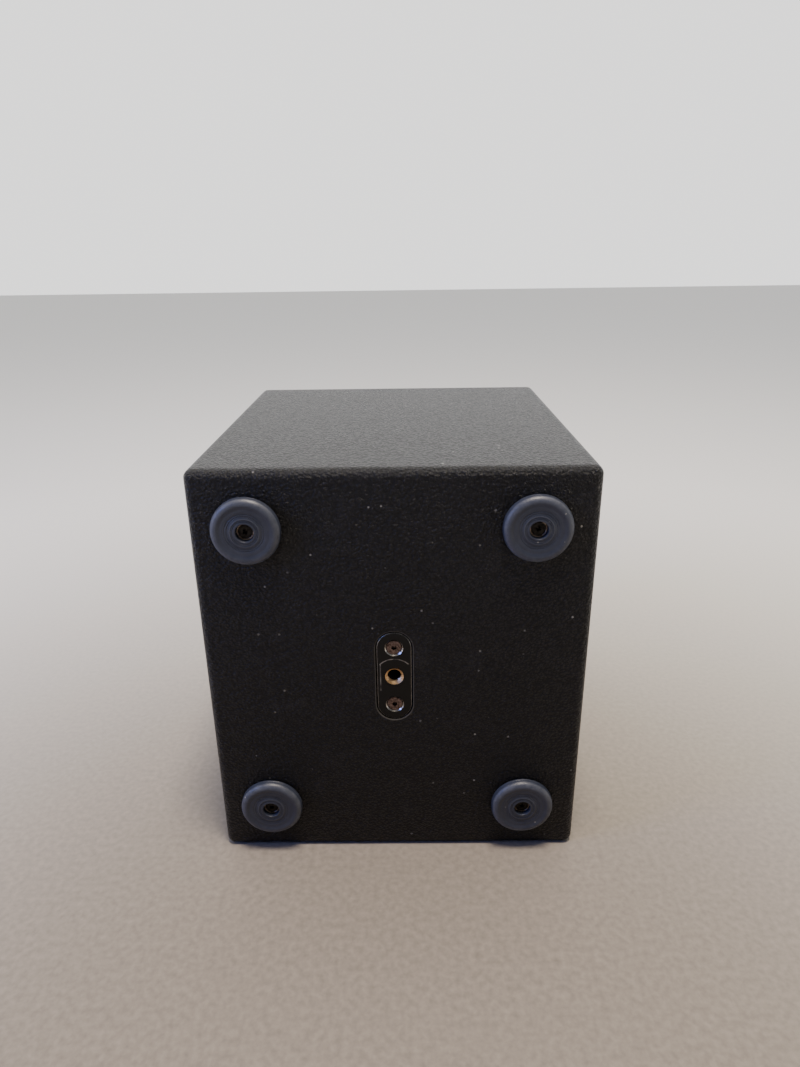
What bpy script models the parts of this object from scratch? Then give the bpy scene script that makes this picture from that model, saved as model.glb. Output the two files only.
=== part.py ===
"""Compact bass-reflex subwoofer, lying on one of its side panels.

Metres, +Z up. The loudspeaker front faces +X, the connector panel faces -X, the top panel faces +Y,
and the underside, with its rubber feet and its pole fitting, faces -Y. The origin is the middle of
the footprint, on the surface that the cabinet lies on.
"""

import math

import bmesh
import bpy
from mathutils import Matrix, Vector

MM = 0.001

# ---- Driving sizes --------------------------------------------------------------------------------

# Cabinet. Depth runs front to back, height from the underside to the top panel, width side to side.
CABINET_DEPTH = 234 * MM
CABINET_HEIGHT = 251 * MM
CABINET_WIDTH = 265 * MM
EDGE_RADIUS = 5.5 * MM
PANEL = 15 * MM
BAFFLE = 18 * MM
GAP = 0.3 * MM  # left between pieces that touch

# Window brace behind the woofer.
BRACE = 12 * MM
BRACE_FRAME = 28 * MM  # width of wood left round its window
BRACE_FROM_REAR = 52 * MM  # from the rear panel to the brace
BRACE_CORNER = 20 * MM

# Rubber feet with their cup washers and screws.
FOOT_RADIUS = 20 * MM
FOOT_HEIGHT = 6 * MM
FOOT_EDGE = 3.5 * MM
FOOT_BORE = 5.2 * MM
FOOT_FLOOR = 0.8 * MM  # rubber left under the washer
FOOT_SPAN_X = 164.7 * MM  # from foot to foot
FOOT_SPAN_Z = 195 * MM
FOOT_OFFSET_X = -1.1 * MM  # feet and fitting sit a little off the middle
WASHER_RADIUS = 4.9 * MM
WASHER = 1.5 * MM
FOOT_SCREW_HEAD = 4.0 * MM
FOOT_SCREW_SHANK = 2.0 * MM
FOOT_SCREW_LENGTH = 14 * MM

# Pole fitting: a slot-shaped steel plate with a threaded barrel, and two countersunk screws.
PLATE_LENGTH = 61.7 * MM
PLATE_WIDTH = 21.4 * MM
PLATE = 4 * MM
PLATE_SUNK = 0.4 * MM  # below the panel's face
PLATE_CLEARANCE = 0.4 * MM
PLATE_EDGE = 0.6 * MM
THREAD_RADIUS = 4.9 * MM  # M10
THREAD_CHAMFER = 1.3 * MM
THREAD_DEPTH = 15 * MM
BARREL_RADIUS = 8 * MM
BARREL_FLOOR = 2 * MM
PLATE_SCREW_SPAN = 40 * MM
PLATE_SCREW_HEAD = 5.0 * MM
PLATE_SCREW_SHANK = 2.4 * MM
PLATE_SCREW_LENGTH = 15 * MM

# Grille: a flat steel sheet with two folded edges, screwed to two battens, with foam behind it.
GRILLE_SUNK = 2.5 * MM  # behind the cabinet's front edge
GRILLE = 1.2 * MM
GRILLE_FOLD = 8 * MM
GRILLE_CLEARANCE = 0.6 * MM
GRILLE_DEPTH = 18 * MM  # from the sheet's face to the baffle
FOAM = 5 * MM
BATTEN_WIDTH = 10 * MM
BATTEN_LENGTH = 130 * MM
GRILLE_SCREW_SPAN = 100 * MM
GRILLE_SCREW_HEAD = 3.2 * MM
GRILLE_SCREW_SHANK = 1.6 * MM
GRILLE_SCREW_LENGTH = 13 * MM

# Woofer. Radii are taken from its own axis.
FRAME_RADIUS = 104 * MM
FLANGE = 4 * MM
GASKET = 1.5 * MM
FLANGE_WIDTH = 11.7 * MM
SHEET = 2 * MM  # basket wall
SHELF_RADIUS = 63 * MM
SHELF_DEPTH = 38 * MM
THROAT_RADIUS = 54 * MM
BASKET_DEPTH = 58 * MM
WINDOWS = 6
CONE_RIM = 5 * MM
CONE_DEPTH = 35 * MM
CONE = 0.9 * MM
ROLL_RADIUS = 6.5 * MM
ROLL_INSET = 1.3 * MM  # from the cut-out's edge in to the roll
SURROUND = 1.0 * MM
SURROUND_LANDING = 4 * MM
CAP_RADIUS = 27 * MM
CAP_RISE = 11 * MM
CAP = 0.8 * MM
FORMER_RADIUS = 19.2 * MM
FORMER = 0.5 * MM
COIL = 1.0 * MM
COIL_HEIGHT = 16 * MM
COIL_CLEARANCE = 0.7 * MM
POLE_VENT = 6 * MM
SPIDER = 0.8 * MM
SPIDER_WAVES = 3
SPIDER_WAVE_HEIGHT = 1.5 * MM
TOP_PLATE_RADIUS = 52 * MM
TOP_PLATE = 6 * MM
MAGNET_RADIUS = 60 * MM
MAGNET_BORE = 32 * MM
MAGNET = 18 * MM
WOOFER_SCREW_INSET = 4.6 * MM
WOOFER_SCREW_HEAD = 3.8 * MM
WOOFER_SCREW_SHANK = 2.0 * MM
WOOFER_SCREW_LENGTH = 16 * MM

# Two reflex ports in the corners of the baffle next to the underside.
PORT_RADIUS = 18 * MM
PORT_WALL = 2 * MM
PORT_LENGTH = 108 * MM
PORT_LIP = 3 * MM
PORT_LIP_HEIGHT = 2 * MM
PORT_FROM_WALL = 22 * MM

# Input plate in the rear panel, with two round locking sockets.
INPUT_LENGTH = 96 * MM
INPUT_WIDTH = 46 * MM
INPUT_CORNER = 4 * MM
INPUT_PLATE = 2 * MM
INPUT_SUNK = 4.5 * MM
INPUT_BORDER = 8 * MM  # the rebate that the plate lies on
INPUT_FROM_MIDDLE = -30 * MM
INPUT_SCREW_INSET = 5 * MM
INPUT_SCREW_HEAD = 2.9 * MM
INPUT_SCREW_SHANK = 1.6 * MM
INPUT_SCREW_LENGTH = 9 * MM
SOCKET_SPAN = 38 * MM
SOCKET_RADIUS = 12 * MM
SOCKET_MOUTH = 10.6 * MM
SOCKET_CORE = 5.0 * MM
SOCKET_DEPTH = 14 * MM
SOCKET_LENGTH = 22 * MM
SOCKET_FLANGE = 26 * MM
SOCKET_FLANGE_HEIGHT = 2.4 * MM

# Passive filter on the inner face of the rear panel.
BOARD_LENGTH = 90 * MM
BOARD_WIDTH = 60 * MM
BOARD = 1.6 * MM
BOARD_POST_HEIGHT = 6 * MM
BOARD_POST = 3 * MM
BOARD_FROM_MIDDLE = 52 * MM
CHOKE_RADIUS = 22 * MM
CHOKE_BORE = 9 * MM
CHOKE_HEIGHT = 20 * MM
CHOKE_FLANGE = 2 * MM
CHOKE_WINDING_SUNK = 2 * MM
CAPACITOR_RADIUS = 10 * MM
CAPACITOR_LENGTH = 34 * MM
CABLE_RADIUS = 2.2 * MM
TERMINAL_WIDTH = 22 * MM
TERMINAL_DEPTH = 7 * MM
TERMINAL_HEIGHT = 7 * MM

ROUND = 28  # sides of a large round piece
MEDIUM_ROUND = 18  # sides of a port, a socket or the thread
SMALL_ROUND = 10  # sides of a screw
EDGE_STEPS = 3

# ---- Places that follow from them -----------------------------------------------------------------

FRONT_X = CABINET_DEPTH / 2
REAR_X = -CABINET_DEPTH / 2
TOP_Y = (CABINET_HEIGHT + FOOT_HEIGHT) / 2
UNDERSIDE_Y = TOP_Y - CABINET_HEIGHT
MIDDLE_Y = (TOP_Y + UNDERSIDE_Y) / 2
MIDDLE_Z = CABINET_WIDTH / 2

INNER_REAR_X = REAR_X + PANEL
INNER_HALF_Y = CABINET_HEIGHT / 2 - PANEL
INNER_HALF_Z = CABINET_WIDTH / 2 - PANEL

GRILLE_FACE_X = FRONT_X - GRILLE_SUNK
BAFFLE_X = GRILLE_FACE_X - GRILLE_DEPTH
BAFFLE_BACK_X = BAFFLE_X - BAFFLE

CUTOUT_RADIUS = FRAME_RADIUS - FLANGE_WIDTH
CONE_RADIUS = CUTOUT_RADIUS - ROLL_INSET - 2 * ROLL_RADIUS

FRONT = Vector((1, 0, 0))
REAR = Vector((-1, 0, 0))
DOWN = Vector((0, -1, 0))  # out of the underside
UP = Vector((0, 1, 0))


# ---- Modelling helpers ----------------------------------------------------------------------------


def clear_scene():
    for obj in list(bpy.data.objects):
        bpy.data.objects.remove(obj, do_unlink=True)


def finish(name, colour, roughness, metallic=0.0):
    """A material of one colour, roughness and metallic value."""
    material = bpy.data.materials.new(name)
    material.use_nodes = True
    shader = material.node_tree.nodes["Principled BSDF"]
    shader.inputs["Base Color"].default_value = (*colour, 1.0)
    shader.inputs["Roughness"].default_value = roughness
    shader.inputs["Metallic"].default_value = metallic
    return material


def turn_to(direction):
    """The rotation that takes +Z to a direction."""
    return direction.to_track_quat("Z", "Y")


def add_object(name, mesh, location=(0, 0, 0), direction=None):
    obj = bpy.data.objects.new(name, mesh)
    bpy.context.scene.collection.objects.link(obj)
    obj.location = location
    if direction is not None:
        obj.rotation_mode = "QUATERNION"
        obj.rotation_quaternion = turn_to(direction)
    return obj


def mesh_from(bm, name, smooth=False):
    bmesh.ops.remove_doubles(bm, verts=bm.verts, dist=1e-7)
    bmesh.ops.recalc_face_normals(bm, faces=bm.faces)
    mesh = bpy.data.meshes.new(name)
    bm.to_mesh(mesh)
    bm.free()
    if smooth:
        mesh.shade_smooth()
        mesh.set_sharp_from_angle(angle=math.radians(35))
    return mesh


def as_cutter(obj):
    obj.hide_render = True
    obj.display_type = "WIRE"
    return obj


def boolean(obj, cutter, operation="DIFFERENCE"):
    modifier = obj.modifiers.new(cutter.name, "BOOLEAN")
    modifier.operation = operation
    modifier.object = cutter
    return obj


def box_mesh(name, size, radius=0.0):
    bm = bmesh.new()
    bmesh.ops.create_cube(bm, size=1)
    bmesh.ops.scale(bm, vec=size, verts=bm.verts)
    if radius:
        bmesh.ops.bevel(
            bm, geom=bm.edges[:], offset=radius, offset_type="OFFSET", affect="EDGES",
            segments=EDGE_STEPS, profile=0.5, material=-1,
        )
    return mesh_from(bm, name)


def box(name, low, high, radius=0.0):
    """A box between two corners, with every edge rounded where a radius is given."""
    low, high = Vector(low), Vector(high)
    return add_object(name, box_mesh(name, high - low, radius), (low + high) / 2)


def turned(name, profile, location, direction, steps=ROUND):
    """A turned piece. Its profile is (radius, height) points, height along the direction.

    A profile that starts and ends on the axis is solid there; any other is a closed ring.
    """
    bm = bmesh.new()
    verts = [bm.verts.new((radius, 0, height)) for radius, height in profile]
    edges = [bm.edges.new(pair) for pair in zip(verts, verts[1:])]
    if profile[0][0] > 0:
        edges.append(bm.edges.new((verts[-1], verts[0])))
    bmesh.ops.spin(
        bm, geom=verts + edges, axis=(0, 0, 1), cent=(0, 0, 0), angle=math.tau,
        steps=steps, use_merge=True,
    )
    return add_object(name, mesh_from(bm, name, smooth=True), location, direction)


def rod(name, radius, start, direction, length, steps=SMALL_ROUND):
    profile = [(0, 0), (radius, 0), (radius, length), (0, length)]
    return turned(name, profile, start, direction, steps)


def slot_outline(length, width, steps):
    """The points of a slot with round ends, its long side along the second axis."""
    radius = width / 2
    reach = length / 2 - radius
    points = []
    for side, start in ((1, 0), (-1, math.pi)):
        for step in range(steps + 1):
            angle = start + math.pi * step / steps
            points.append((radius * math.cos(angle), side * reach + radius * math.sin(angle)))
    return points


def rounded_outline(length, width, radius, steps=EDGE_STEPS):
    """The points of a rounded rectangle, its long side along the second axis."""
    points = []
    corners = ((1, 1), (-1, 1), (-1, -1), (1, -1))
    for quarter, (side_a, side_b) in enumerate(corners):
        centre = (side_a * (width / 2 - radius), side_b * (length / 2 - radius))
        for step in range(steps + 1):
            angle = (quarter + step / steps) * math.pi / 2
            points.append((centre[0] + radius * math.cos(angle), centre[1] + radius * math.sin(angle)))
    return points


def extruded(name, outline, height, place, chamfer=0.0):
    """A plate of a given outline, drawn across +Z and then put in place by a matrix."""
    bm = bmesh.new()
    face = bm.faces.new([bm.verts.new((a, b, 0)) for a, b in outline])
    grown = bmesh.ops.extrude_face_region(bm, geom=[face])["geom"]
    top = [item for item in grown if isinstance(item, bmesh.types.BMVert)]
    bmesh.ops.translate(bm, vec=(0, 0, height), verts=top)
    if chamfer:
        rim = [edge for edge in bm.edges if all(vert in top for vert in edge.verts)]
        bmesh.ops.bevel(
            bm, geom=rim, offset=chamfer, offset_type="OFFSET", affect="EDGES",
            segments=1, profile=0.5, material=-1,
        )
    obj = add_object(name, mesh_from(bm, name, smooth=True))
    obj.matrix_world = place
    return obj


def facing_down(centre):
    """Places a plate drawn across +Z: its height runs out of the underside, its length along Z."""
    axes = Matrix(((1, 0, 0, 0), (0, 0, -1, 0), (0, 1, 0, 0), (0, 0, 0, 1)))
    return Matrix.Translation(centre) @ axes


def facing_rear(centre):
    """Places a plate drawn across +Z: its height runs out of the rear, its length along Z."""
    axes = Matrix(((0, 0, -1, 0), (-1, 0, 0, 0), (0, 1, 0, 0), (0, 0, 0, 1)))
    return Matrix.Translation(centre) @ axes


def facing_front(centre):
    """Places a plate drawn across +Z: its height runs out of the front, its length along Z."""
    axes = Matrix(((0, 0, 1, 0), (1, 0, 0, 0), (0, 1, 0, 0), (0, 0, 0, 1)))
    return Matrix.Translation(centre) @ axes


def countersunk_screw(name, head, shank, length, face, direction):
    """A countersunk screw whose head's face is at a point, with a round driving hole."""
    socket = head * 0.3
    socket_depth = (head - shank) * 0.6
    profile = [
        (0, -length), (shank * 0.5, -length), (shank, -length + shank), (shank, shank - head),
        (head, -0.2 * MM), (head, 0), (socket, 0), (socket, -socket_depth), (0, -socket_depth),
    ]
    return turned(name, profile, face, direction, SMALL_ROUND)


def countersink(name, head, shank, depth, face, direction):
    """The cutter for a countersunk screw: its own shape, larger by a gap, open at the face."""
    wide = head + 1.5 * GAP
    narrow = shank + GAP
    profile = [
        (0, -depth), (narrow, -depth), (narrow, narrow - wide), (wide, 0), (wide, PANEL), (0, PANEL),
    ]
    return as_cutter(turned(name, profile, face, direction, SMALL_ROUND))


def pan_screw(name, head, shank, length, seat, direction):
    """A round-headed screw whose head rests on a seat, with a round driving hole."""
    height = head * 0.55
    socket = head * 0.35
    profile = [
        (0, -length), (shank * 0.5, -length), (shank, -length + shank), (shank, GAP),
        (head, GAP), (head, GAP + height * 0.5), (head * 0.75, GAP + height),
        (socket, GAP + height), (socket, GAP + height * 0.4), (0, GAP + height * 0.4),
    ]
    return turned(name, profile, seat, direction, SMALL_ROUND)


def pilot(name, shank, length, start, direction):
    """The cutter for a screw's hole, which runs a little past its tip."""
    over = 1.5 * MM
    return as_cutter(rod(name, shank + GAP, start + direction * over, -direction, length + 2 * over))


# ---- Cabinet --------------------------------------------------------------------------------------


def cabinet_form():
    """The whole cabinet's outer shape, with rounded edges, which every outer panel is cut to."""
    low = (REAR_X, UNDERSIDE_Y, 0)
    high = (FRONT_X, TOP_Y, CABINET_WIDTH)
    return as_cutter(box("cabinet_form", low, high, EDGE_RADIUS))


def outer_panel(name, form, low, high):
    """A panel that runs past the cabinet's form on its outer sides, and is cut back to it."""
    return boolean(box(name, low, high), form, "INTERSECT")


def make_panels(form, paint):
    over = 10 * MM
    front = FRONT_X + over
    behind = INNER_REAR_X + GAP
    low_y, high_y = UNDERSIDE_Y - over, TOP_Y + over
    inner_low_y, inner_high_y = UNDERSIDE_Y + PANEL, TOP_Y - PANEL
    top_z = CABINET_WIDTH
    panels = {
        "side_panel_lower": ((behind, low_y, -over), (front, high_y, PANEL)),
        "side_panel_upper": ((behind, low_y, top_z - PANEL), (front, high_y, top_z + over)),
        "base_panel": ((behind, low_y, PANEL + GAP), (front, inner_low_y, top_z - PANEL - GAP)),
        "top_panel": ((behind, inner_high_y, PANEL + GAP), (front, high_y, top_z - PANEL - GAP)),
        "rear_panel": ((REAR_X - over, low_y, -over), (INNER_REAR_X, high_y, top_z + over)),
    }
    made = {}
    for name, (low, high) in panels.items():
        made[name] = outer_panel(name, form, low, high)
        made[name].data.materials.append(paint)
    return made


def inner_board(name, back_x, front_x, wood):
    """A board that fills the inside of the cabinet between two depths."""
    low = (back_x, MIDDLE_Y - INNER_HALF_Y + GAP, MIDDLE_Z - INNER_HALF_Z + GAP)
    high = (front_x, MIDDLE_Y + INNER_HALF_Y - GAP, MIDDLE_Z + INNER_HALF_Z - GAP)
    board = box(name, low, high)
    board.data.materials.append(wood)
    return board


def make_brace(wood):
    back = INNER_REAR_X + BRACE_FROM_REAR
    brace = inner_board("brace", back, back + BRACE, wood)
    length = 2 * (INNER_HALF_Z - BRACE_FRAME)
    width = 2 * (INNER_HALF_Y - BRACE_FRAME)
    outline = rounded_outline(length, width, BRACE_CORNER)
    place = facing_front((back - BRACE, MIDDLE_Y, MIDDLE_Z))
    boolean(brace, as_cutter(extruded("brace_window", outline, 3 * BRACE, place)))


# ---- Feet -----------------------------------------------------------------------------------------


def foot_centres():
    for side_z in (-1, 1):
        for side_x in (-1, 1):
            x = FOOT_OFFSET_X + side_x * FOOT_SPAN_X / 2
            yield Vector((x, UNDERSIDE_Y, MIDDLE_Z + side_z * FOOT_SPAN_Z / 2))


def foot_profile(screw_hole):
    """Rubber disc: straight wall, round outer edge, flat face, and a bore with a thin floor."""
    points = [(screw_hole, GAP), (FOOT_RADIUS, GAP)]
    for step in range(EDGE_STEPS + 1):
        angle = math.pi / 2 * step / EDGE_STEPS
        radius = FOOT_RADIUS - FOOT_EDGE + FOOT_EDGE * math.cos(angle)
        points.append((radius, FOOT_HEIGHT - FOOT_EDGE + FOOT_EDGE * math.sin(angle)))
    points += [(FOOT_BORE, FOOT_HEIGHT), (FOOT_BORE, GAP + FOOT_FLOOR), (screw_hole, GAP + FOOT_FLOOR)]
    return points


def make_feet(base_panel, rubber, zinc, brass):
    washer_low = FOOT_FLOOR + 2 * GAP
    washer_high = washer_low + WASHER
    cone_gap = 1.5 * GAP
    upper_hole = FOOT_SCREW_HEAD + cone_gap
    lower_hole = upper_hole - WASHER
    screw_hole = FOOT_SCREW_HEAD - WASHER + GAP
    for number, centre in enumerate(foot_centres(), 1):
        foot = turned(f"foot_{number}", foot_profile(screw_hole), centre, DOWN)
        foot.data.materials.append(rubber)
        ring = [
            (lower_hole, washer_low), (WASHER_RADIUS, washer_low),
            (WASHER_RADIUS, washer_high), (upper_hole, washer_high),
        ]
        washer = turned(f"foot_washer_{number}", ring, centre, DOWN, MEDIUM_ROUND)
        washer.data.materials.append(brass)
        face = centre + DOWN * washer_high
        screw = countersunk_screw(
            f"foot_screw_{number}", FOOT_SCREW_HEAD, FOOT_SCREW_SHANK, FOOT_SCREW_LENGTH, face, DOWN
        )
        screw.data.materials.append(zinc)
        depth = FOOT_SCREW_LENGTH - washer_high
        boolean(base_panel, pilot(f"foot_pilot_{number}", FOOT_SCREW_SHANK, depth, centre, DOWN))


# ---- Pole fitting ---------------------------------------------------------------------------------


def make_pole_fitting(base_panel, steel, zinc):
    face = Vector((FOOT_OFFSET_X, UNDERSIDE_Y + PLATE_SUNK, MIDDLE_Z))
    back = face - DOWN * PLATE
    outline = slot_outline(PLATE_LENGTH, PLATE_WIDTH, ROUND // 4)
    plate = extruded("mounting_plate", outline, PLATE, facing_down(back), PLATE_EDGE)
    plate.data.materials.append(steel)

    barrel_end = THREAD_DEPTH + BARREL_FLOOR
    barrel_start = face + UP * PLATE / 2
    barrel_length = barrel_end - PLATE / 2
    barrel = rod("barrel", BARREL_RADIUS, barrel_start, UP, barrel_length, MEDIUM_ROUND)
    boolean(plate, as_cutter(barrel), "UNION")
    over = 2 * MM
    mouth = THREAD_RADIUS + THREAD_CHAMFER
    thread = [
        (0, -THREAD_DEPTH), (THREAD_RADIUS, -THREAD_DEPTH), (THREAD_RADIUS, -THREAD_CHAMFER),
        (mouth, 0), (mouth, over), (0, over),
    ]
    boolean(plate, as_cutter(turned("thread_hole", thread, face, DOWN, MEDIUM_ROUND)))

    pocket_outline = slot_outline(
        PLATE_LENGTH + 2 * PLATE_CLEARANCE, PLATE_WIDTH + 2 * PLATE_CLEARANCE, ROUND // 4
    )
    floor = back - DOWN * GAP
    pocket_height = PLATE + PLATE_SUNK + GAP + over
    pocket = extruded("plate_pocket", pocket_outline, pocket_height, facing_down(floor))
    boolean(base_panel, as_cutter(pocket))
    barrel_hole = rod("barrel_hole", BARREL_RADIUS + GAP, face, UP, 2 * PANEL, MEDIUM_ROUND)
    boolean(base_panel, as_cutter(barrel_hole))

    for number, side in enumerate((-1, 1), 1):
        head = face + Vector((0, 0, side * PLATE_SCREW_SPAN / 2)) - DOWN * GAP
        screw = countersunk_screw(
            f"mounting_screw_{number}", PLATE_SCREW_HEAD, PLATE_SCREW_SHANK, PLATE_SCREW_LENGTH,
            head, DOWN,
        )
        screw.data.materials.append(zinc)
        hole = countersink(
            f"plate_countersink_{number}", PLATE_SCREW_HEAD, PLATE_SCREW_SHANK, 2 * PLATE, head, DOWN
        )
        boolean(plate, hole)
        boolean(
            base_panel,
            pilot(f"plate_pilot_{number}", PLATE_SCREW_SHANK, PLATE_SCREW_LENGTH, head, DOWN),
        )


# ---- Front ----------------------------------------------------------------------------------------


def make_grille(steel, foam_finish, wood, black_zinc):
    half_y = INNER_HALF_Y - GRILLE_CLEARANCE
    half_z = INNER_HALF_Z - GRILLE_CLEARANCE
    back = GRILLE_FACE_X - GRILLE
    fold_end = GRILLE_FACE_X - GRILLE_FOLD
    # The sheet and its two folded edges, seen along the cabinet's width.
    outline = [
        (-half_y, fold_end), (-half_y, GRILLE_FACE_X - GRILLE), (-half_y + GRILLE, GRILLE_FACE_X),
        (half_y - GRILLE, GRILLE_FACE_X), (half_y, GRILLE_FACE_X - GRILLE), (half_y, fold_end),
        (half_y - GRILLE, fold_end), (half_y - GRILLE, back), (-half_y + GRILLE, back),
        (-half_y + GRILLE, fold_end),
    ]
    axes = Matrix(((0, 1, 0, 0), (1, 0, 0, 0), (0, 0, 1, 0), (0, 0, 0, 1)))
    place = Matrix.Translation((0, MIDDLE_Y, MIDDLE_Z - half_z)) @ axes
    grille = extruded("grille", outline, 2 * half_z, place)
    grille.data.materials.append(steel)

    foam_half_y = half_y - GRILLE - 2 * GAP
    foam_half_z = INNER_HALF_Z - BATTEN_WIDTH - 3 * GAP
    foam = box(
        "grille_foam",
        (back - GAP - FOAM, MIDDLE_Y - foam_half_y, MIDDLE_Z - foam_half_z),
        (back - GAP, MIDDLE_Y + foam_half_y, MIDDLE_Z + foam_half_z),
    )
    foam.data.materials.append(foam_finish)

    number = 0
    for side, which in ((-1, "lower"), (1, "upper")):
        wall_z = MIDDLE_Z + side * (INNER_HALF_Z - GAP)
        inner_z = wall_z - side * BATTEN_WIDTH
        batten = box(
            f"grille_batten_{which}",
            (BAFFLE_X + GAP, MIDDLE_Y - BATTEN_LENGTH / 2, min(wall_z, inner_z)),
            (back - GAP, MIDDLE_Y + BATTEN_LENGTH / 2, max(wall_z, inner_z)),
        )
        batten.data.materials.append(wood)
        for side_y in (-1, 1):
            number += 1
            y = MIDDLE_Y + side_y * GRILLE_SCREW_SPAN / 2
            seat = Vector((GRILLE_FACE_X, y, (wall_z + inner_z) / 2))
            screw = pan_screw(
                f"grille_screw_{number}", GRILLE_SCREW_HEAD, GRILLE_SCREW_SHANK,
                GRILLE_SCREW_LENGTH, seat, FRONT,
            )
            screw.data.materials.append(black_zinc)
            hole = pilot(
                f"grille_pilot_{number}", GRILLE_SCREW_SHANK, GRILLE_SCREW_LENGTH, seat, FRONT
            )
            boolean(grille, hole)
            boolean(batten, hole)


def port_centres():
    y = MIDDLE_Y - INNER_HALF_Y + PORT_FROM_WALL
    reach = INNER_HALF_Z - PORT_FROM_WALL
    yield "lower", Vector((BAFFLE_X, y, MIDDLE_Z - reach))
    yield "upper", Vector((BAFFLE_X, y, MIDDLE_Z + reach))


def make_baffle(wood, plastic):
    baffle = inner_board("front_baffle", BAFFLE_BACK_X, BAFFLE_X, wood)
    centre = Vector((BAFFLE_X, MIDDLE_Y, MIDDLE_Z))
    rebate = FLANGE + GASKET + 2 * GAP
    frame_hole = FRAME_RADIUS + 2 * GAP
    cutout = [
        (0, -2 * BAFFLE), (CUTOUT_RADIUS, -2 * BAFFLE), (CUTOUT_RADIUS, -rebate),
        (frame_hole, -rebate), (frame_hole, BAFFLE), (0, BAFFLE),
    ]
    boolean(baffle, as_cutter(turned("woofer_cutout", cutout, centre, FRONT)))

    inner = PORT_RADIUS - PORT_WALL
    tube = [
        (inner, -PORT_LENGTH), (PORT_RADIUS, -PORT_LENGTH), (PORT_RADIUS, GAP),
        (PORT_RADIUS + PORT_LIP, GAP), (PORT_RADIUS + PORT_LIP, GAP + PORT_LIP_HEIGHT / 2),
        (PORT_RADIUS, GAP + PORT_LIP_HEIGHT), (inner + PORT_WALL / 2, GAP + PORT_LIP_HEIGHT),
        (inner, GAP),
    ]
    for which, mouth in port_centres():
        port = turned(f"port_tube_{which}", tube, mouth, FRONT, MEDIUM_ROUND)
        port.data.materials.append(plastic)
        start = mouth + FRONT * BAFFLE
        hole = rod(f"port_hole_{which}", PORT_RADIUS + GAP, start, REAR, 3 * BAFFLE, MEDIUM_ROUND)
        boolean(baffle, as_cutter(hole))
    return baffle


# ---- Woofer ---------------------------------------------------------------------------------------

WOOFER = Vector((BAFFLE_X, MIDDLE_Y, MIDDLE_Z))
SEAT = -BASKET_DEPTH  # where the basket's floor rests on the magnet's top plate
TOP_PLATE_FRONT = SEAT - GAP
TOP_PLATE_BACK = TOP_PLATE_FRONT - TOP_PLATE
MAGNET_BACK = TOP_PLATE_BACK - GAP - MAGNET
YOKE_FRONT = MAGNET_BACK - GAP
FORMER_OUTER = FORMER_RADIUS + FORMER
COIL_OUTER = FORMER_OUTER + GAP + COIL
NECK_RADIUS = FORMER_OUTER + GAP
COIL_BACK = (TOP_PLATE_FRONT + TOP_PLATE_BACK) / 2 - COIL_HEIGHT / 2


def cone_height(radius):
    """Height of the cone's front surface at a radius: a shallow curve from its rim to its neck."""
    share = (radius - NECK_RADIUS) / (CONE_RADIUS - CONE_RIM - NECK_RADIUS)
    return -CONE_DEPTH + (CONE_DEPTH - GAP) * (0.86 * share + 0.14 * share ** 2) - GAP / 2


def on_woofer_axis(name, profile, material, parent=None, steps=ROUND):
    piece = turned(name, profile, WOOFER, FRONT, steps)
    piece.data.materials.append(material)
    if parent is not None:
        hold(piece, parent)
    return piece


def hold(piece, parent):
    """Parents a piece to an empty that stands unturned, and keeps the piece where it is."""
    piece.parent = parent
    piece.location = Vector(piece.location) - Vector(parent.location)


def make_basket(steel):
    wall = CUTOUT_RADIUS - 2 * GAP
    slope_end = SHELF_RADIUS + SHEET
    floor_bore = COIL_OUTER + 3 * MM
    profile = [
        (FRAME_RADIUS, 0), (FRAME_RADIUS, -FLANGE), (wall, -FLANGE),
        (slope_end, -SHELF_DEPTH - SHEET), (THROAT_RADIUS + SHEET, -SHELF_DEPTH - SHEET),
        (THROAT_RADIUS + SHEET, SEAT), (floor_bore, SEAT), (floor_bore, SEAT + SHEET),
        (THROAT_RADIUS, SEAT + SHEET), (THROAT_RADIUS, -SHELF_DEPTH), (SHELF_RADIUS, -SHELF_DEPTH),
        (wall - SHEET, -FLANGE), (wall - SHEET, 0),
    ]
    basket = on_woofer_axis("woofer_basket", profile, steel)
    # Windows between the legs, each cut by a block that reaches out from the axis.
    mid_height = -(FLANGE + SHELF_DEPTH) / 2
    window_height = (SHELF_DEPTH - FLANGE) * 0.6
    leg = math.tau * slope_end / WINDOWS * 0.35
    window_width = math.tau * slope_end / WINDOWS - leg
    for number in range(WINDOWS):
        angle = math.tau * (number + 0.5) / WINDOWS
        outward = Vector((0, math.cos(angle), math.sin(angle)))
        mesh = box_mesh("window", (window_width, window_height, CUTOUT_RADIUS))
        window = add_object(f"basket_window_{number + 1}", mesh)
        across = FRONT.cross(outward)
        axes = Matrix((across, FRONT, outward)).transposed().to_4x4()
        middle = WOOFER + FRONT * mid_height + outward * (THROAT_RADIUS + CUTOUT_RADIUS / 2)
        window.matrix_world = Matrix.Translation(middle) @ axes
        boolean(basket, as_cutter(window))
    return basket


def make_surround(rubber):
    """A half roll between the cone's rim and the frame, with a flat landing on each side."""
    inner = CONE_RADIUS
    outer = CONE_RADIUS + 2 * ROLL_RADIUS
    middle = (inner + outer) / 2
    low, high = GAP, GAP + SURROUND
    steps = 6

    def arc(radius):
        return [
            (middle + radius * math.cos(angle), low + radius * math.sin(angle))
            for angle in (math.pi * step / steps for step in range(1, steps))
        ]

    profile = [(inner - SURROUND_LANDING, low), (inner - SURROUND_LANDING, high)]
    profile += [(inner, high)] + arc(ROLL_RADIUS + SURROUND / 2)[::-1] + [(outer, high)]
    profile += [(outer + SURROUND_LANDING, high), (outer + SURROUND_LANDING, low)]
    profile += [(outer - SURROUND / 2, low)]
    profile += arc(ROLL_RADIUS - SURROUND / 2)
    profile += [(inner + SURROUND / 2, low)]
    on_woofer_axis("surround", profile, rubber)


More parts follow.
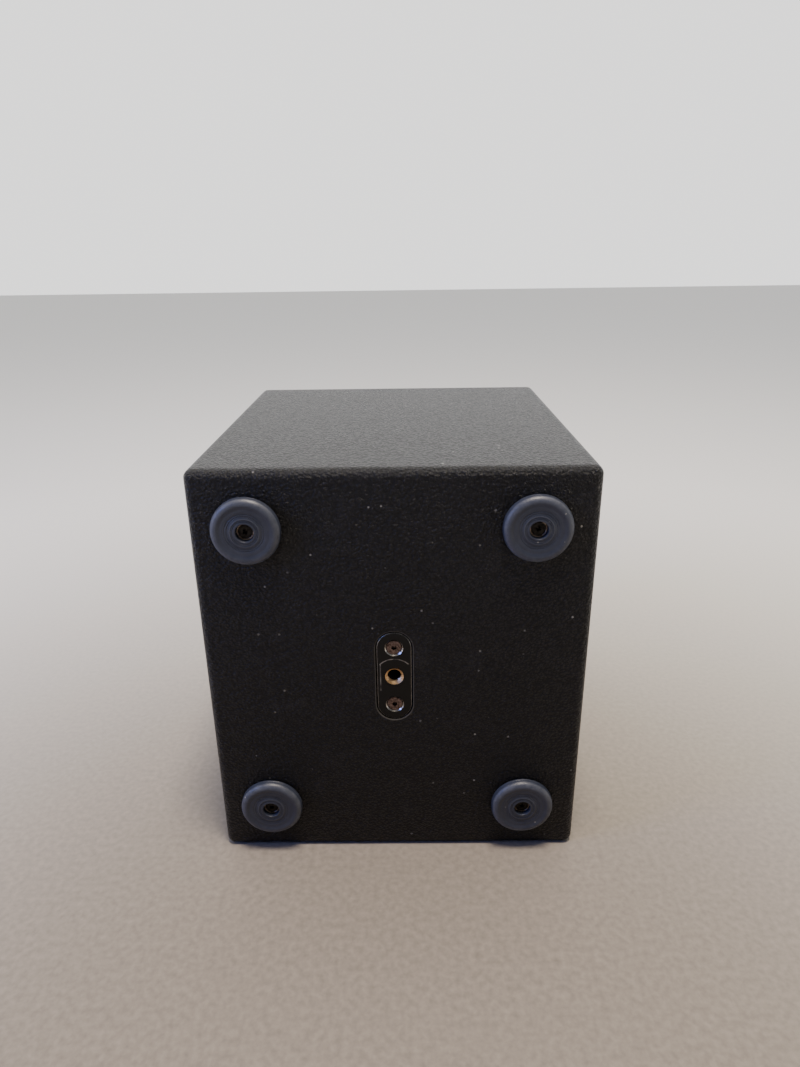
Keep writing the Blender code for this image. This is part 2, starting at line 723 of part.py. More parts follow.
def make_spider(cloth):
    """A corrugated disc from the former to the basket's shelf."""
    inner = FORMER_OUTER + GAP
    outer = SHELF_RADIUS - GAP
    flat = (SHELF_RADIUS - THROAT_RADIUS) * 0.8
    base = -SHELF_DEPTH + GAP
    steps = SPIDER_WAVES * 3
    corrugated = outer - flat - inner

    def surface(lift):
        points = []
        for step in range(steps + 1):
            wave = SPIDER_WAVE_HEIGHT * (1 - math.cos(math.tau * SPIDER_WAVES * step / steps)) / 2
            points.append((inner + corrugated * step / steps, base + lift + wave))
        return points + [(outer, base + lift)]

    on_woofer_axis("spider", surface(0) + surface(SPIDER)[::-1], cloth)


def make_moving_parts(mover, paper, cap_finish, card, copper):
    """Everything that the coil drives: cone, dust cap, former and winding."""
    steps = 4
    radii = [
        NECK_RADIUS + (CONE_RADIUS - CONE_RIM - NECK_RADIUS) * step / steps for step in range(steps + 1)
    ]
    front = [(radius, cone_height(radius)) for radius in radii] + [(CONE_RADIUS, cone_height(radii[-1]))]
    back = [(radius, height - CONE) for radius, height in front]
    on_woofer_axis("cone", front + back[::-1], paper, mover)

    edge = cone_height(CAP_RADIUS) + GAP + CAP / 2
    rise = [math.pi / 2 * step / steps for step in range(steps + 1)]
    outside = [(CAP_RADIUS * math.cos(a), edge + CAP_RISE * math.sin(a)) for a in rise[:-1]]
    inside = [
        ((CAP_RADIUS - CAP) * math.cos(a), edge + (CAP_RISE - CAP) * math.sin(a)) for a in rise[:-1]
    ]
    dome = [(0, edge + CAP_RISE - CAP)] + inside[::-1] + outside + [(0, edge + CAP_RISE)]
    on_woofer_axis("dust_cap", dome, cap_finish, mover)

    former_front = cone_height(NECK_RADIUS)
    former = [
        (FORMER_RADIUS, COIL_BACK), (FORMER_OUTER, COIL_BACK),
        (FORMER_OUTER, former_front), (FORMER_RADIUS, former_front),
    ]
    on_woofer_axis("voice_coil_former", former, card, mover)
    winding_inner = FORMER_OUTER + GAP
    winding = [
        (winding_inner, COIL_BACK), (COIL_OUTER, COIL_BACK),
        (COIL_OUTER, COIL_BACK + COIL_HEIGHT), (winding_inner, COIL_BACK + COIL_HEIGHT),
    ]
    on_woofer_axis("voice_coil", winding, copper, mover)


def make_motor(plate_steel, ferrite):
    """Top plate, ring magnet, and the yoke with its vented pole."""
    gap_radius = COIL_OUTER + COIL_CLEARANCE
    ring = [
        (gap_radius, TOP_PLATE_BACK), (TOP_PLATE_RADIUS, TOP_PLATE_BACK),
        (TOP_PLATE_RADIUS, TOP_PLATE_FRONT), (gap_radius, TOP_PLATE_FRONT),
    ]
    on_woofer_axis("woofer_top_plate", ring, plate_steel)
    chamfer = 1.5 * MM
    front = TOP_PLATE_BACK - GAP
    magnet = [
        (MAGNET_BORE, MAGNET_BACK), (MAGNET_RADIUS - chamfer, MAGNET_BACK),
        (MAGNET_RADIUS, MAGNET_BACK + chamfer), (MAGNET_RADIUS, front - chamfer),
        (MAGNET_RADIUS - chamfer, front), (MAGNET_BORE, front),
    ]
    on_woofer_axis("magnet", magnet, ferrite)
    pole = FORMER_RADIUS - COIL_CLEARANCE
    back = YOKE_FRONT - TOP_PLATE
    yoke = [
        (POLE_VENT, back), (TOP_PLATE_RADIUS, back), (TOP_PLATE_RADIUS, YOKE_FRONT),
        (pole, YOKE_FRONT), (pole, TOP_PLATE_FRONT), (POLE_VENT, TOP_PLATE_FRONT),
    ]
    on_woofer_axis("woofer_yoke", yoke, plate_steel)


def make_woofer_fixings(basket, baffle, rubber, black_zinc, plastic):
    ring = [
        (CUTOUT_RADIUS + GAP, -FLANGE - GAP - GASKET), (FRAME_RADIUS, -FLANGE - GAP - GASKET),
        (FRAME_RADIUS, -FLANGE - GAP), (CUTOUT_RADIUS + GAP, -FLANGE - GAP),
    ]
    gasket = on_woofer_axis("woofer_gasket", ring, rubber)
    for number in range(4):
        angle = math.pi / 4 + math.pi / 2 * number
        outward = Vector((0, math.cos(angle), math.sin(angle)))
        seat = WOOFER + outward * (FRAME_RADIUS - WOOFER_SCREW_INSET)
        screw = pan_screw(
            f"woofer_screw_{number + 1}", WOOFER_SCREW_HEAD, WOOFER_SCREW_SHANK,
            WOOFER_SCREW_LENGTH, seat, FRONT,
        )
        screw.data.materials.append(black_zinc)
        hole = pilot(
            f"woofer_pilot_{number + 1}", WOOFER_SCREW_SHANK, WOOFER_SCREW_LENGTH, seat, FRONT
        )
        for piece in (basket, gasket, baffle):
            boolean(piece, hole)

    shelf_back = BAFFLE_X - SHELF_DEPTH - SHEET - GAP
    low_y = MIDDLE_Y + THROAT_RADIUS + SHEET + GAP
    block = box(
        "terminal_block",
        (shelf_back - TERMINAL_DEPTH, low_y, MIDDLE_Z - TERMINAL_WIDTH / 2),
        (shelf_back, low_y + TERMINAL_HEIGHT, MIDDLE_Z + TERMINAL_WIDTH / 2),
    )
    block.data.materials.append(plastic)


# ---- Rear -----------------------------------------------------------------------------------------

INPUT_Y = MIDDLE_Y + INPUT_FROM_MIDDLE
INPUT_FACE_X = REAR_X + INPUT_SUNK


def socket_centres():
    for number, side in enumerate((-1, 1), 1):
        yield number, Vector((INPUT_FACE_X, INPUT_Y, MIDDLE_Z + side * SOCKET_SPAN / 2))


def make_input_plate(rear_panel, steel, black_zinc):
    face = Vector((INPUT_FACE_X, INPUT_Y, MIDDLE_Z))
    back = face - REAR * INPUT_PLATE
    outline = rounded_outline(INPUT_LENGTH, INPUT_WIDTH, INPUT_CORNER)
    plate = extruded("input_plate", outline, INPUT_PLATE, facing_rear(back))
    plate.data.materials.append(steel)

    over = 2 * MM
    pocket = rounded_outline(
        INPUT_LENGTH + 2 * PLATE_CLEARANCE, INPUT_WIDTH + 2 * PLATE_CLEARANCE, INPUT_CORNER
    )
    floor = back - REAR * GAP
    height = INPUT_PLATE + INPUT_SUNK + GAP + over
    boolean(rear_panel, as_cutter(extruded("input_pocket", pocket, height, facing_rear(floor))))
    window = rounded_outline(
        INPUT_LENGTH - 2 * INPUT_BORDER, INPUT_WIDTH - 2 * INPUT_BORDER, INPUT_CORNER
    )
    place = facing_rear(face - REAR * 2 * PANEL)
    boolean(rear_panel, as_cutter(extruded("input_window", window, 3 * PANEL, place)))

    number = 0
    for side_y in (-1, 1):
        for side_z in (-1, 1):
            number += 1
            reach_y = side_y * (INPUT_WIDTH / 2 - INPUT_SCREW_INSET)
            reach_z = side_z * (INPUT_LENGTH / 2 - INPUT_SCREW_INSET)
            seat = face + Vector((0, reach_y, reach_z))
            screw = pan_screw(
                f"input_screw_{number}", INPUT_SCREW_HEAD, INPUT_SCREW_SHANK,
                INPUT_SCREW_LENGTH, seat, REAR,
            )
            screw.data.materials.append(black_zinc)
            hole = pilot(f"input_pilot_{number}", INPUT_SCREW_SHANK, INPUT_SCREW_LENGTH, seat, REAR)
            boolean(plate, hole)
            boolean(rear_panel, hole)
    return plate


def make_sockets(plate, plastic):
    """Round locking sockets: a square flange, and a ring-shaped well round a core."""
    chamfer = 1 * MM
    top = GAP + SOCKET_FLANGE_HEIGHT
    well = top - SOCKET_DEPTH
    for number, centre in socket_centres():
        outline = rounded_outline(SOCKET_FLANGE, SOCKET_FLANGE, 3 * MM)
        place = facing_rear(centre + REAR * GAP)
        socket = extruded(f"input_socket_{number}", outline, SOCKET_FLANGE_HEIGHT, place)
        socket.data.materials.append(plastic)
        start = centre + REAR * (GAP + SOCKET_FLANGE_HEIGHT / 2)
        length = SOCKET_LENGTH + SOCKET_FLANGE_HEIGHT / 2
        body = rod(f"socket_body_{number}", SOCKET_RADIUS, start, -REAR, length, MEDIUM_ROUND)
        boolean(socket, as_cutter(body), "UNION")
        ring = [
            (SOCKET_CORE, well), (SOCKET_MOUTH, well), (SOCKET_MOUTH, top - chamfer),
            (SOCKET_MOUTH + chamfer, top), (SOCKET_MOUTH + chamfer, top + chamfer),
            (SOCKET_CORE, top + chamfer),
        ]
        boolean(socket, as_cutter(turned(f"socket_well_{number}", ring, centre, REAR, MEDIUM_ROUND)))
        start = centre + REAR * PANEL
        hole = rod(
            f"socket_hole_{number}", SOCKET_RADIUS + GAP, start, FRONT, 2 * PANEL, MEDIUM_ROUND
        )
        boolean(plate, as_cutter(hole))


def make_filter(board_finish, copper, film):
    """Board on four posts, with a coil and a capacitor. Returns where the cables meet the board."""
    face_x = INNER_REAR_X + GAP
    y = MIDDLE_Y + BOARD_FROM_MIDDLE
    low_x = face_x + BOARD_POST_HEIGHT
    board = box(
        "filter_board",
        (low_x, y - BOARD_WIDTH / 2, MIDDLE_Z - BOARD_LENGTH / 2),
        (low_x + BOARD, y + BOARD_WIDTH / 2, MIDDLE_Z + BOARD_LENGTH / 2),
    )
    board.data.materials.append(board_finish)
    for side_y in (-1, 1):
        for side_z in (-1, 1):
            corner = Vector((
                face_x,
                y + side_y * (BOARD_WIDTH / 2 - 2 * BOARD_POST),
                MIDDLE_Z + side_z * (BOARD_LENGTH / 2 - 2 * BOARD_POST),
            ))
            post = rod(
                f"board_post_{side_y}_{side_z}", BOARD_POST, corner, FRONT,
                BOARD_POST_HEIGHT + BOARD / 2, SMALL_ROUND,
            )
            boolean(board, as_cutter(post), "UNION")

    top_x = low_x + BOARD + GAP
    choke_z = MIDDLE_Z - BOARD_LENGTH / 2 + CHOKE_RADIUS + 2 * MM
    waist = CHOKE_RADIUS - CHOKE_WINDING_SUNK
    bobbin = [
        (CHOKE_BORE, 0), (CHOKE_RADIUS, 0), (CHOKE_RADIUS, CHOKE_FLANGE), (waist, CHOKE_FLANGE),
        (waist, CHOKE_HEIGHT - CHOKE_FLANGE), (CHOKE_RADIUS, CHOKE_HEIGHT - CHOKE_FLANGE),
        (CHOKE_RADIUS, CHOKE_HEIGHT), (CHOKE_BORE, CHOKE_HEIGHT),
    ]
    choke = turned("filter_coil", bobbin, (top_x, y, choke_z), FRONT, MEDIUM_ROUND)
    choke.data.materials.append(copper)

    cap_z = choke_z + CHOKE_RADIUS + GAP + 4 * MM + CAPACITOR_RADIUS
    start = Vector((top_x + CAPACITOR_RADIUS, y - CAPACITOR_LENGTH / 2, cap_z))
    capacitor = rod("filter_capacitor", CAPACITOR_RADIUS, start, UP, CAPACITOR_LENGTH, MEDIUM_ROUND)
    capacitor.data.materials.append(film)
    return Vector((top_x, y, cap_z)), low_x


def smooth_route(points, steps):
    """Points on a smooth curve through the route's own points."""
    ends = [2 * points[0] - points[1], *points, 2 * points[-1] - points[-2]]
    route = []
    for a, b, c, d in zip(ends, ends[1:], ends[2:], ends[3:]):
        for step in range(steps):
            t = step / steps
            route.append(
                0.5 * (2 * b + (c - a) * t + (2 * a - 5 * b + 4 * c - d) * t * t
                       + (3 * b - a - 3 * c + d) * t ** 3)
            )
    return route + [points[-1]]


def cable(name, points, material):
    curve = bpy.data.curves.new(name, "CURVE")
    curve.dimensions = "3D"
    curve.bevel_depth = CABLE_RADIUS
    curve.bevel_resolution = 2
    curve.use_fill_caps = True
    route = smooth_route(points, 4)
    spline = curve.splines.new("POLY")
    spline.points.add(len(route) - 1)
    for point, place in zip(spline.points, route):
        point.co = (*place, 1)
    curve.materials.append(material)
    return add_object(name, curve)


def make_cables(capacitor_foot, board_x, sheath):
    """Sockets to filter board, and filter board to the woofer's terminals."""
    socket_back = INPUT_FACE_X + SOCKET_LENGTH + CABLE_RADIUS
    edge_y = capacitor_foot.y - BOARD_WIDTH / 2
    start = Vector((socket_back, INPUT_Y, MIDDLE_Z + SOCKET_SPAN / 2))
    cable("input_cable", [
        start,
        start + Vector((9 * MM, 4 * MM, 0)),
        start + Vector((14 * MM, 20 * MM, 4 * MM)),
        Vector((board_x + 20 * MM, edge_y - 8 * MM, capacitor_foot.z + 16 * MM)),
        Vector((board_x + 12 * MM, edge_y + 4 * MM, capacitor_foot.z + 18 * MM)),
        Vector((capacitor_foot.x + CABLE_RADIUS, edge_y + 10 * MM, capacitor_foot.z + 18 * MM)),
    ], sheath)

    block_back = BAFFLE_X - SHELF_DEPTH - SHEET - TERMINAL_DEPTH - 2 * GAP
    block_y = MIDDLE_Y + THROAT_RADIUS + SHEET + TERMINAL_HEIGHT / 2
    end = Vector((block_back, block_y, MIDDLE_Z))
    cable("woofer_cable", [
        Vector((capacitor_foot.x + CABLE_RADIUS, edge_y + 44 * MM, capacitor_foot.z + 18 * MM)),
        Vector((board_x + 14 * MM, edge_y + 44 * MM, capacitor_foot.z + 17 * MM)),
        Vector((INNER_REAR_X + BRACE_FROM_REAR, block_y + 4 * MM, MIDDLE_Z + 26 * MM)),
        Vector((INNER_REAR_X + BRACE_FROM_REAR + 3 * BRACE, block_y + 10 * MM, MIDDLE_Z + 8 * MM)),
        end - FRONT * 26 * MM + UP * 6 * MM,
        end - FRONT * 8 * MM,
        end,
    ], sheath)


# ---- Assembly -------------------------------------------------------------------------------------


def build():
    clear_scene()
    paint = finish("textured_black_paint", (0.012, 0.012, 0.013), 0.55)
    wood = finish("birch_plywood", (0.55, 0.40, 0.24), 0.6)
    black_wood = finish("black_stained_plywood", (0.02, 0.02, 0.02), 0.7)
    foot_rubber = finish("foot_rubber", (0.035, 0.038, 0.05), 0.5)
    soft_rubber = finish("butyl_rubber", (0.015, 0.015, 0.016), 0.6)
    black_steel = finish("black_coated_steel", (0.015, 0.015, 0.016), 0.4, 0.3)
    zinc = finish("zinc_plated_steel", (0.45, 0.42, 0.38), 0.35, 1.0)
    brass = finish("yellow_passivated_steel", (0.45, 0.33, 0.18), 0.4, 1.0)
    black_zinc = finish("black_zinc_steel", (0.03, 0.03, 0.035), 0.35, 0.8)
    plastic = finish("black_plastic", (0.015, 0.015, 0.016), 0.45)
    foam_finish = finish("reticulated_foam", (0.01, 0.01, 0.01), 0.95)
    paper = finish("coated_paper", (0.02, 0.02, 0.02), 0.75)
    spider_cloth = finish("resin_treated_cotton", (0.42, 0.27, 0.10), 0.9)
    card = finish("former_paper", (0.40, 0.30, 0.20), 0.7)
    copper = finish("enamelled_copper", (0.55, 0.22, 0.08), 0.35, 1.0)
    ferrite = finish("ferrite", (0.03, 0.03, 0.035), 0.5)
    board_finish = finish("fibreglass_board", (0.03, 0.16, 0.07), 0.5)
    film = finish("film_capacitor", (0.55, 0.45, 0.05), 0.4)
    sheath = finish("cable_sheath", (0.02, 0.02, 0.02), 0.5)

    panels = make_panels(cabinet_form(), paint)
    make_brace(wood)
    make_feet(panels["base_panel"], foot_rubber, zinc, brass)
    make_pole_fitting(panels["base_panel"], black_steel, zinc)

    baffle = make_baffle(black_wood, plastic)
    make_grille(black_steel, foam_finish, black_wood, black_zinc)
    basket = make_basket(black_steel)
    make_woofer_fixings(basket, baffle, soft_rubber, black_zinc, plastic)
    make_surround(soft_rubber)
    make_spider(spider_cloth)
    make_motor(zinc, ferrite)
    mover = add_object("cone_stroke", None, WOOFER)
    make_moving_parts(mover, paper, soft_rubber, card, copper)

    plate = make_input_plate(panels["rear_panel"], black_steel, black_zinc)
    make_sockets(plate, plastic)
    capacitor_foot, board_x = make_filter(board_finish, copper, film)
    make_cables(capacitor_foot, board_x, sheath)


build()
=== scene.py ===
import math

import bmesh
import bpy
from mathutils import Matrix, Vector


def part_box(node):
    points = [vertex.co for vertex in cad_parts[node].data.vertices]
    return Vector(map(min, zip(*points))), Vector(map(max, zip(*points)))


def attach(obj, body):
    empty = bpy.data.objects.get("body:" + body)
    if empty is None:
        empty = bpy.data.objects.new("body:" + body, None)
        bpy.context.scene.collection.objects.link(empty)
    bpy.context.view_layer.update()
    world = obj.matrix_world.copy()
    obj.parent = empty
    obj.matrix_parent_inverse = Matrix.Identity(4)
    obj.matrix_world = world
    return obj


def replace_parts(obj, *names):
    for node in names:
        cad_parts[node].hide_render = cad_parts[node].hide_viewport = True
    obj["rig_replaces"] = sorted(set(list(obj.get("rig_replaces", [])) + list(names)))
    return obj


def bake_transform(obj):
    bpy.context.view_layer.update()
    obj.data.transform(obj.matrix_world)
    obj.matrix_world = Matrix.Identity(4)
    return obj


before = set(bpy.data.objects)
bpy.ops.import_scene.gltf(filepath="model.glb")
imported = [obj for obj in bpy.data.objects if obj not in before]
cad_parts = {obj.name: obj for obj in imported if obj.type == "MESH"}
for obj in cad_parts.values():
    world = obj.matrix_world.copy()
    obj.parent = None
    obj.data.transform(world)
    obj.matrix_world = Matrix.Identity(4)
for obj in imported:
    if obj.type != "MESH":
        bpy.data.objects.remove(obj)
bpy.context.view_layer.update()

# ---- Cabinet ----------------------------------------------------------------------------------------
# Birch plywood panels, glued into a box with a rounded outer edge, filled, sanded and sprayed as one.
# The structured two-pack paint closes every joint and dries to a hard, finely pebbled satin skin.

MM = 0.001
TINY = 0.01 * MM  # points closer than this are the same
GAP = 0.3 * MM  # left between pieces that touch
SMOOTH_ANGLE = 35  # degrees; a sharper edge than this stays sharp
EDGE_RADIUS = 5.5 * MM
MOUTH_RADIUS = 0.8 * MM  # where the paint rounds an inner edge
POCKET_EDGE = 0.7 * MM

rear_low, rear_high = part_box("rear_panel")
side_low, side_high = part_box("side_panel_lower")
base_low, base_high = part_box("base_panel")
cabinet_low = Vector((rear_low.x, base_low.y, side_low.z))
cabinet_high = Vector((side_high.x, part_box("top_panel")[1].y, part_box("side_panel_upper")[1].z))
panel = base_high.y - base_low.y
underside_y = base_low.y
middle_y = (cabinet_low.y + cabinet_high.y) / 2
middle_z = (cabinet_low.z + cabinet_high.z) / 2


def linear(hex_code):
    """An sRGB hex colour as the linear RGBA that a shader takes."""
    parts = [int(hex_code[start:start + 2], 16) / 255 for start in (1, 3, 5)]
    return [part / 12.92 if part <= 0.04045 else ((part + 0.055) / 1.055) ** 2.4 for part in parts] + [1]


def feed(tree, node, inputs):
    """Sets a node's inputs; each is a value, or the socket that feeds it."""
    for name, value in inputs.items():
        if isinstance(value, bpy.types.NodeSocket):
            tree.links.new(value, node.inputs[name])
        else:
            node.inputs[name].default_value = value


def add_node(tree, kind, inputs=None, **settings):
    node = tree.nodes.new(kind)
    for name, value in settings.items():
        setattr(node, name, value)
    feed(tree, node, inputs or {})
    return node


def remap(tree, value, low, high, to_low=0.0, to_high=1.0, blend="LINEAR"):
    """Carries a value from one range to another, and stops at the ends."""
    return add_node(
        tree, "ShaderNodeMapRange",
        {"Value": value, "From Min": low, "From Max": high, "To Min": to_low, "To Max": to_high},
        interpolation_type=blend,
    ).outputs["Result"]


def calculate(tree, operation, *values):
    """The result of one step of arithmetic on numbers or sockets."""
    return add_node(tree, "ShaderNodeMath", dict(enumerate(values)), operation=operation).outputs[0]


def mix_colours(tree, share, first, second):
    """A colour between two others. Each is a hex code, or the socket that gives it."""
    first, second = (linear(colour) if isinstance(colour, str) else colour for colour in (first, second))
    return add_node(
        tree, "ShaderNodeMix", {"Factor": share, "A": first, "B": second}, data_type="RGBA"
    ).outputs["Result"]


def noise(tree, place, size, detail=2.0, roughness=0.5, distortion=0.0):
    """A cloudy value from 0 to 1, whose largest clouds have the given size."""
    return add_node(
        tree, "ShaderNodeTexNoise",
        {
            "Vector": place, "Scale": 1 / size, "Detail": detail, "Roughness": roughness,
            "Distortion": distortion,
        },
    ).outputs["Fac"]


def start_material(name, roughness, metallic=0.0):
    """A new material, its node tree and shader, and the place on the object by which textures are laid."""
    material = bpy.data.materials.new(name)
    material.use_nodes = True
    tree = material.node_tree
    shader = tree.nodes["Principled BSDF"]
    feed(tree, shader, {"Roughness": roughness, "Metallic": metallic})
    place = tree.nodes.new("ShaderNodeTexCoord").outputs["Object"]
    return material, tree, shader, place


def emboss(tree, shader, height, strength, distance):
    """Gives a finish its fine relief."""
    bump = add_node(
        tree, "ShaderNodeBump", {"Height": height, "Strength": strength, "Distance": distance}
    )
    feed(tree, shader, {"Normal": bump.outputs["Normal"]})


def shade(mesh, smooth_angle=SMOOTH_ANGLE):
    """Shades a mesh smooth, and keeps an edge that turns by more than the angle sharp."""
    mesh.shade_smooth()
    mesh.set_sharp_from_angle(angle=math.radians(smooth_angle))


def finish_mesh(bm, name, material, smooth_angle=SMOOTH_ANGLE):
    """Makes an object at the origin from a bmesh that is already in its place."""
    bmesh.ops.remove_doubles(bm, verts=bm.verts, dist=1e-7)
    bmesh.ops.recalc_face_normals(bm, faces=bm.faces)
    mesh = bpy.data.meshes.new(name)
    bm.to_mesh(mesh)
    bm.free()
    shade(mesh, smooth_angle)
    piece = bpy.data.objects.new(name, mesh)
    bpy.context.scene.collection.objects.link(piece)
    if material is not None:
        mesh.materials.append(material)
    return piece


def combine(piece, cutters, operation="DIFFERENCE"):
    """Cuts the cutters out of a piece, or joins them to it, and keeps the result as its mesh."""
    for cutter in cutters:
        modifier = piece.modifiers.new("shape", "BOOLEAN")
        modifier.operation = operation
        modifier.object = cutter
        modifier.material_mode = "TRANSFER"
    graph = bpy.context.evaluated_depsgraph_get()
    shaped = bpy.data.meshes.new_from_object(piece.evaluated_get(graph), depsgraph=graph)
    piece.modifiers.clear()
    piece.data = shaped
    for cutter in cutters:
        bpy.data.objects.remove(cutter, do_unlink=True)
    shade(shaped)
    return piece


def even_shading(piece):
    """Keeps broad flat faces flat right up to their rounded edges."""
    modifier = piece.modifiers.new("even_shading", "WEIGHTED_NORMAL")
    modifier.weight = 100
    modifier.keep_sharp = True


def verts_of(geometry):
    return [item for item in geometry if isinstance(item, bmesh.types.BMVert)]


def round_edges(bm, edges, radius, segments):
    """Rounds edges to a radius, in a number of flat steps."""
    bmesh.ops.bevel(
        bm, geom=edges, offset=radius, offset_type="OFFSET", affect="EDGES",
        segments=segments, profile=0.5, material=-1,
    )


def round_rim(bm, face_x, radius, segments):
    """Rounds the edges of the face that lies at one place along the cabinet's depth."""
    rim = [edge for edge in bm.edges if all(abs(vert.co.x - face_x) < 1e-6 for vert in edge.verts)]
    round_edges(bm, rim, radius, segments)


def rounded_slot(bm, place, length, width, corner, depth):
    """A block with rounded corners, drawn flat and put in place. Its length runs along Y there."""
    grid = bmesh.ops.create_grid(bm, x_segments=1, y_segments=1, size=0.5)
    bmesh.ops.scale(bm, vec=(width, length, 1), verts=grid["verts"])
    bmesh.ops.bevel(
        bm, geom=grid["verts"], offset=corner, offset_type="OFFSET", affect="VERTICES",
        segments=8, profile=0.5, material=-1,
    )
    grown = bmesh.ops.extrude_face_region(bm, geom=bm.faces[:])["geom"]
    bmesh.ops.translate(bm, vec=(0, 0, depth), verts=verts_of(grown))
    bmesh.ops.transform(bm, matrix=place, verts=bm.verts)


def turned(name, outline, place, material, steps=64, smooth_angle=SMOOTH_ANGLE, stretch=0.0):
    """A turned piece from (radius, height) points. It is solid where the outline ends on the axis.
    A stretch pulls its two halves apart along the drawn Y, which turns each circle into a slot."""
    bm = bmesh.new()
    half_step = math.pi / steps
    start = Vector((math.cos(half_step), math.sin(half_step)))
    verts = [bm.verts.new((radius * start.x, radius * start.y, height)) for radius, height in outline]
    edges = [bm.edges.new(pair) for pair in zip(verts, verts[1:])]
    if outline[0][0] > 0:
        edges.append(bm.edges.new((verts[-1], verts[0])))
    bmesh.ops.spin(
        bm, geom=verts + edges, axis=(0, 0, 1), cent=(0, 0, 0), angle=math.tau,
        steps=steps, use_merge=True,
    )
    for vert in bm.verts:
        if abs(vert.co.y) > 1e-6:
            vert.co.y += math.copysign(stretch / 2, vert.co.y)
    bmesh.ops.transform(bm, matrix=place, verts=bm.verts)
    return finish_mesh(bm, name, material, smooth_angle)


def seat(low, high, axis, level, side):
    """The place, over the middle of a box and at a level along one axis, to draw flat on a side."""
    middle = [(start + end) / 2 for start, end in zip(low, high)]
    middle[axis] = level
    return Matrix.Translation(middle) @ side


# Drawn flat, a shape's Z then points out of the named side, and its Y along the cabinet's Z.
OUT_OF_BASE = Matrix(((1, 0, 0, 0), (0, 0, -1, 0), (0, 1, 0, 0), (0, 0, 0, 1)))
OUT_OF_REAR = Matrix(((0, 0, -1, 0), (-1, 0, 0, 0), (0, 1, 0, 0), (0, 0, 0, 1)))
OUT_OF_FRONT = Matrix(((0, 0, 1, 0), (1, 0, 0, 0), (0, 1, 0, 0), (0, 0, 0, 1)))


def speckled(tree, place, colour, cell):
    """Strews small pale specks of dust over a colour: at most one in each cell, thicker in some places."""
    cells = add_node(tree, "ShaderNodeTexVoronoi", {"Vector": place, "Scale": 1 / cell})
    pick = add_node(tree, "ShaderNodeSeparateColor", {"Color": cells.outputs["Color"]})
    thinnest, thickest = 0.01, 0.3
    thick = remap(tree, noise(tree, place, 55 * MM, 1.0), 0.45, 0.6, thinnest, thickest)
    chosen = calculate(tree, "LESS_THAN", pick.outputs["Red"], thick)
    smallest, largest = 0.13, 0.21
    reach = remap(tree, pick.outputs["Green"], 0.0, 1.0, smallest, largest)
    wobble = noise(tree, place, 0.6 * MM, 3.0)
    ragged = calculate(tree, "MULTIPLY_ADD", wobble, 0.14, cells.outputs["Distance"])
    inside = remap(tree, calculate(tree, "SUBTRACT", reach, ragged), -0.02, 0.02)
    faintest, palest = 0.15, 0.8
    shown = remap(tree, pick.outputs["Blue"], 0.0, 1.0, faintest, palest)
    speck = calculate(tree, "MULTIPLY", calculate(tree, "MULTIPLY", inside, shown), chosen)
    return mix_colours(tree, speck, colour, "#a5a3a1")


def structured_paint():
    """Structured two-pack polyurethane: black, satin, with rounded pebbles. The real ones are about 1 mm;
    they are drawn at 1.7 mm, coarse enough to show on the whole cabinet."""
    material, tree, shader, place = start_material("structured_paint", 0.34)
    pebble_size = 1.7 * MM
    grit_size = 0.9 * MM
    relief = 0.6 * MM
    pebbles = add_node(
        tree, "ShaderNodeTexVoronoi",
        {"Vector": place, "Scale": 1 / pebble_size, "Smoothness": 0.4, "Randomness": 1.0},
        feature="SMOOTH_F1",
    )
    rounded = remap(tree, pebbles.outputs["Distance"], 0.0, 0.75, 1.0, 0.0)
    grit = noise(tree, place, grit_size, 3.0, 0.65)
    height = calculate(tree, "MULTIPLY_ADD", grit, 1.3, rounded)
    emboss(tree, shader, height, 1.0, relief)
    # The valleys between the pebbles hold dust and are dull, and the tops are polished by handling.
    valley, top = 0.75, 1.45
    gloss = remap(tree, height, valley, top, 0.28, 0.42)
    dullness = remap(tree, height, valley, top, 0.4, 0.28)
    feed(tree, shader, {"Specular IOR Level": gloss, "Roughness": dullness})
    # Handling leaves faint smudges on the satin paint, and fine white specks.
    smudge = remap(tree, noise(tree, place, 26 * MM, 6.0, 0.7, 0.6), 0.55, 0.8, 0.0, 0.7)
    paled_colour = mix_colours(tree, smudge, "#0a0a0e", "#232227")
    feed(tree, shader, {"Base Color": speckled(tree, place, paled_colour, 7 * MM)})
    return material


def powder_coat(name, dark, light, roughness):
    """A sprayed or moulded skin: even and satin, slightly clouded, with a very fine orange peel."""
    material, tree, shader, place = start_material(name, roughness)
    cloud = noise(tree, place, 18 * MM, 5.0, 0.6)
    feed(tree, shader, {"Base Color": mix_colours(tree, cloud, dark, light)})
    emboss(tree, shader, noise(tree, place, 0.8 * MM), 0.3, 0.06 * MM)
    return material


def make_cabinet(paint):
    """One closed skin round all five panels, open at the front, so that no joint between them shows."""
    bm = bmesh.new()
    bmesh.ops.create_cube(bm, size=1)
    bmesh.ops.scale(bm, vec=cabinet_high - cabinet_low, verts=bm.verts)
    bmesh.ops.translate(bm, vec=(cabinet_low + cabinet_high) / 2, verts=bm.verts)
    round_edges(bm, bm.edges[:], EDGE_RADIUS, 8)
    # The open front: the panels' own thickness shows as a rim round the recess of the grille.
    front = max((face for face in bm.faces if face.normal.x > 0.99), key=lambda face: face.calc_area())
    bmesh.ops.inset_region(bm, faces=[front], thickness=panel - EDGE_RADIUS)
    mouth = front.edges[:]
    grown = bmesh.ops.extrude_face_region(bm, geom=[front])["geom"]
    inner = verts_of(grown)
    bmesh.ops.delete(bm, geom=[front], context="FACES_ONLY")
    bmesh.ops.translate(bm, vec=(rear_high.x - cabinet_high.x, 0, 0), verts=inner)
    round_edges(bm, mouth, MOUTH_RADIUS, 3)
    return finish_mesh(bm, "painted_cabinet", paint)


def slanted(polygon):
    """Whether a face lies between flat and upright, as on a rounded edge or in a chamfer."""
    return 0.2 < abs(polygon.normal.y) < 0.97


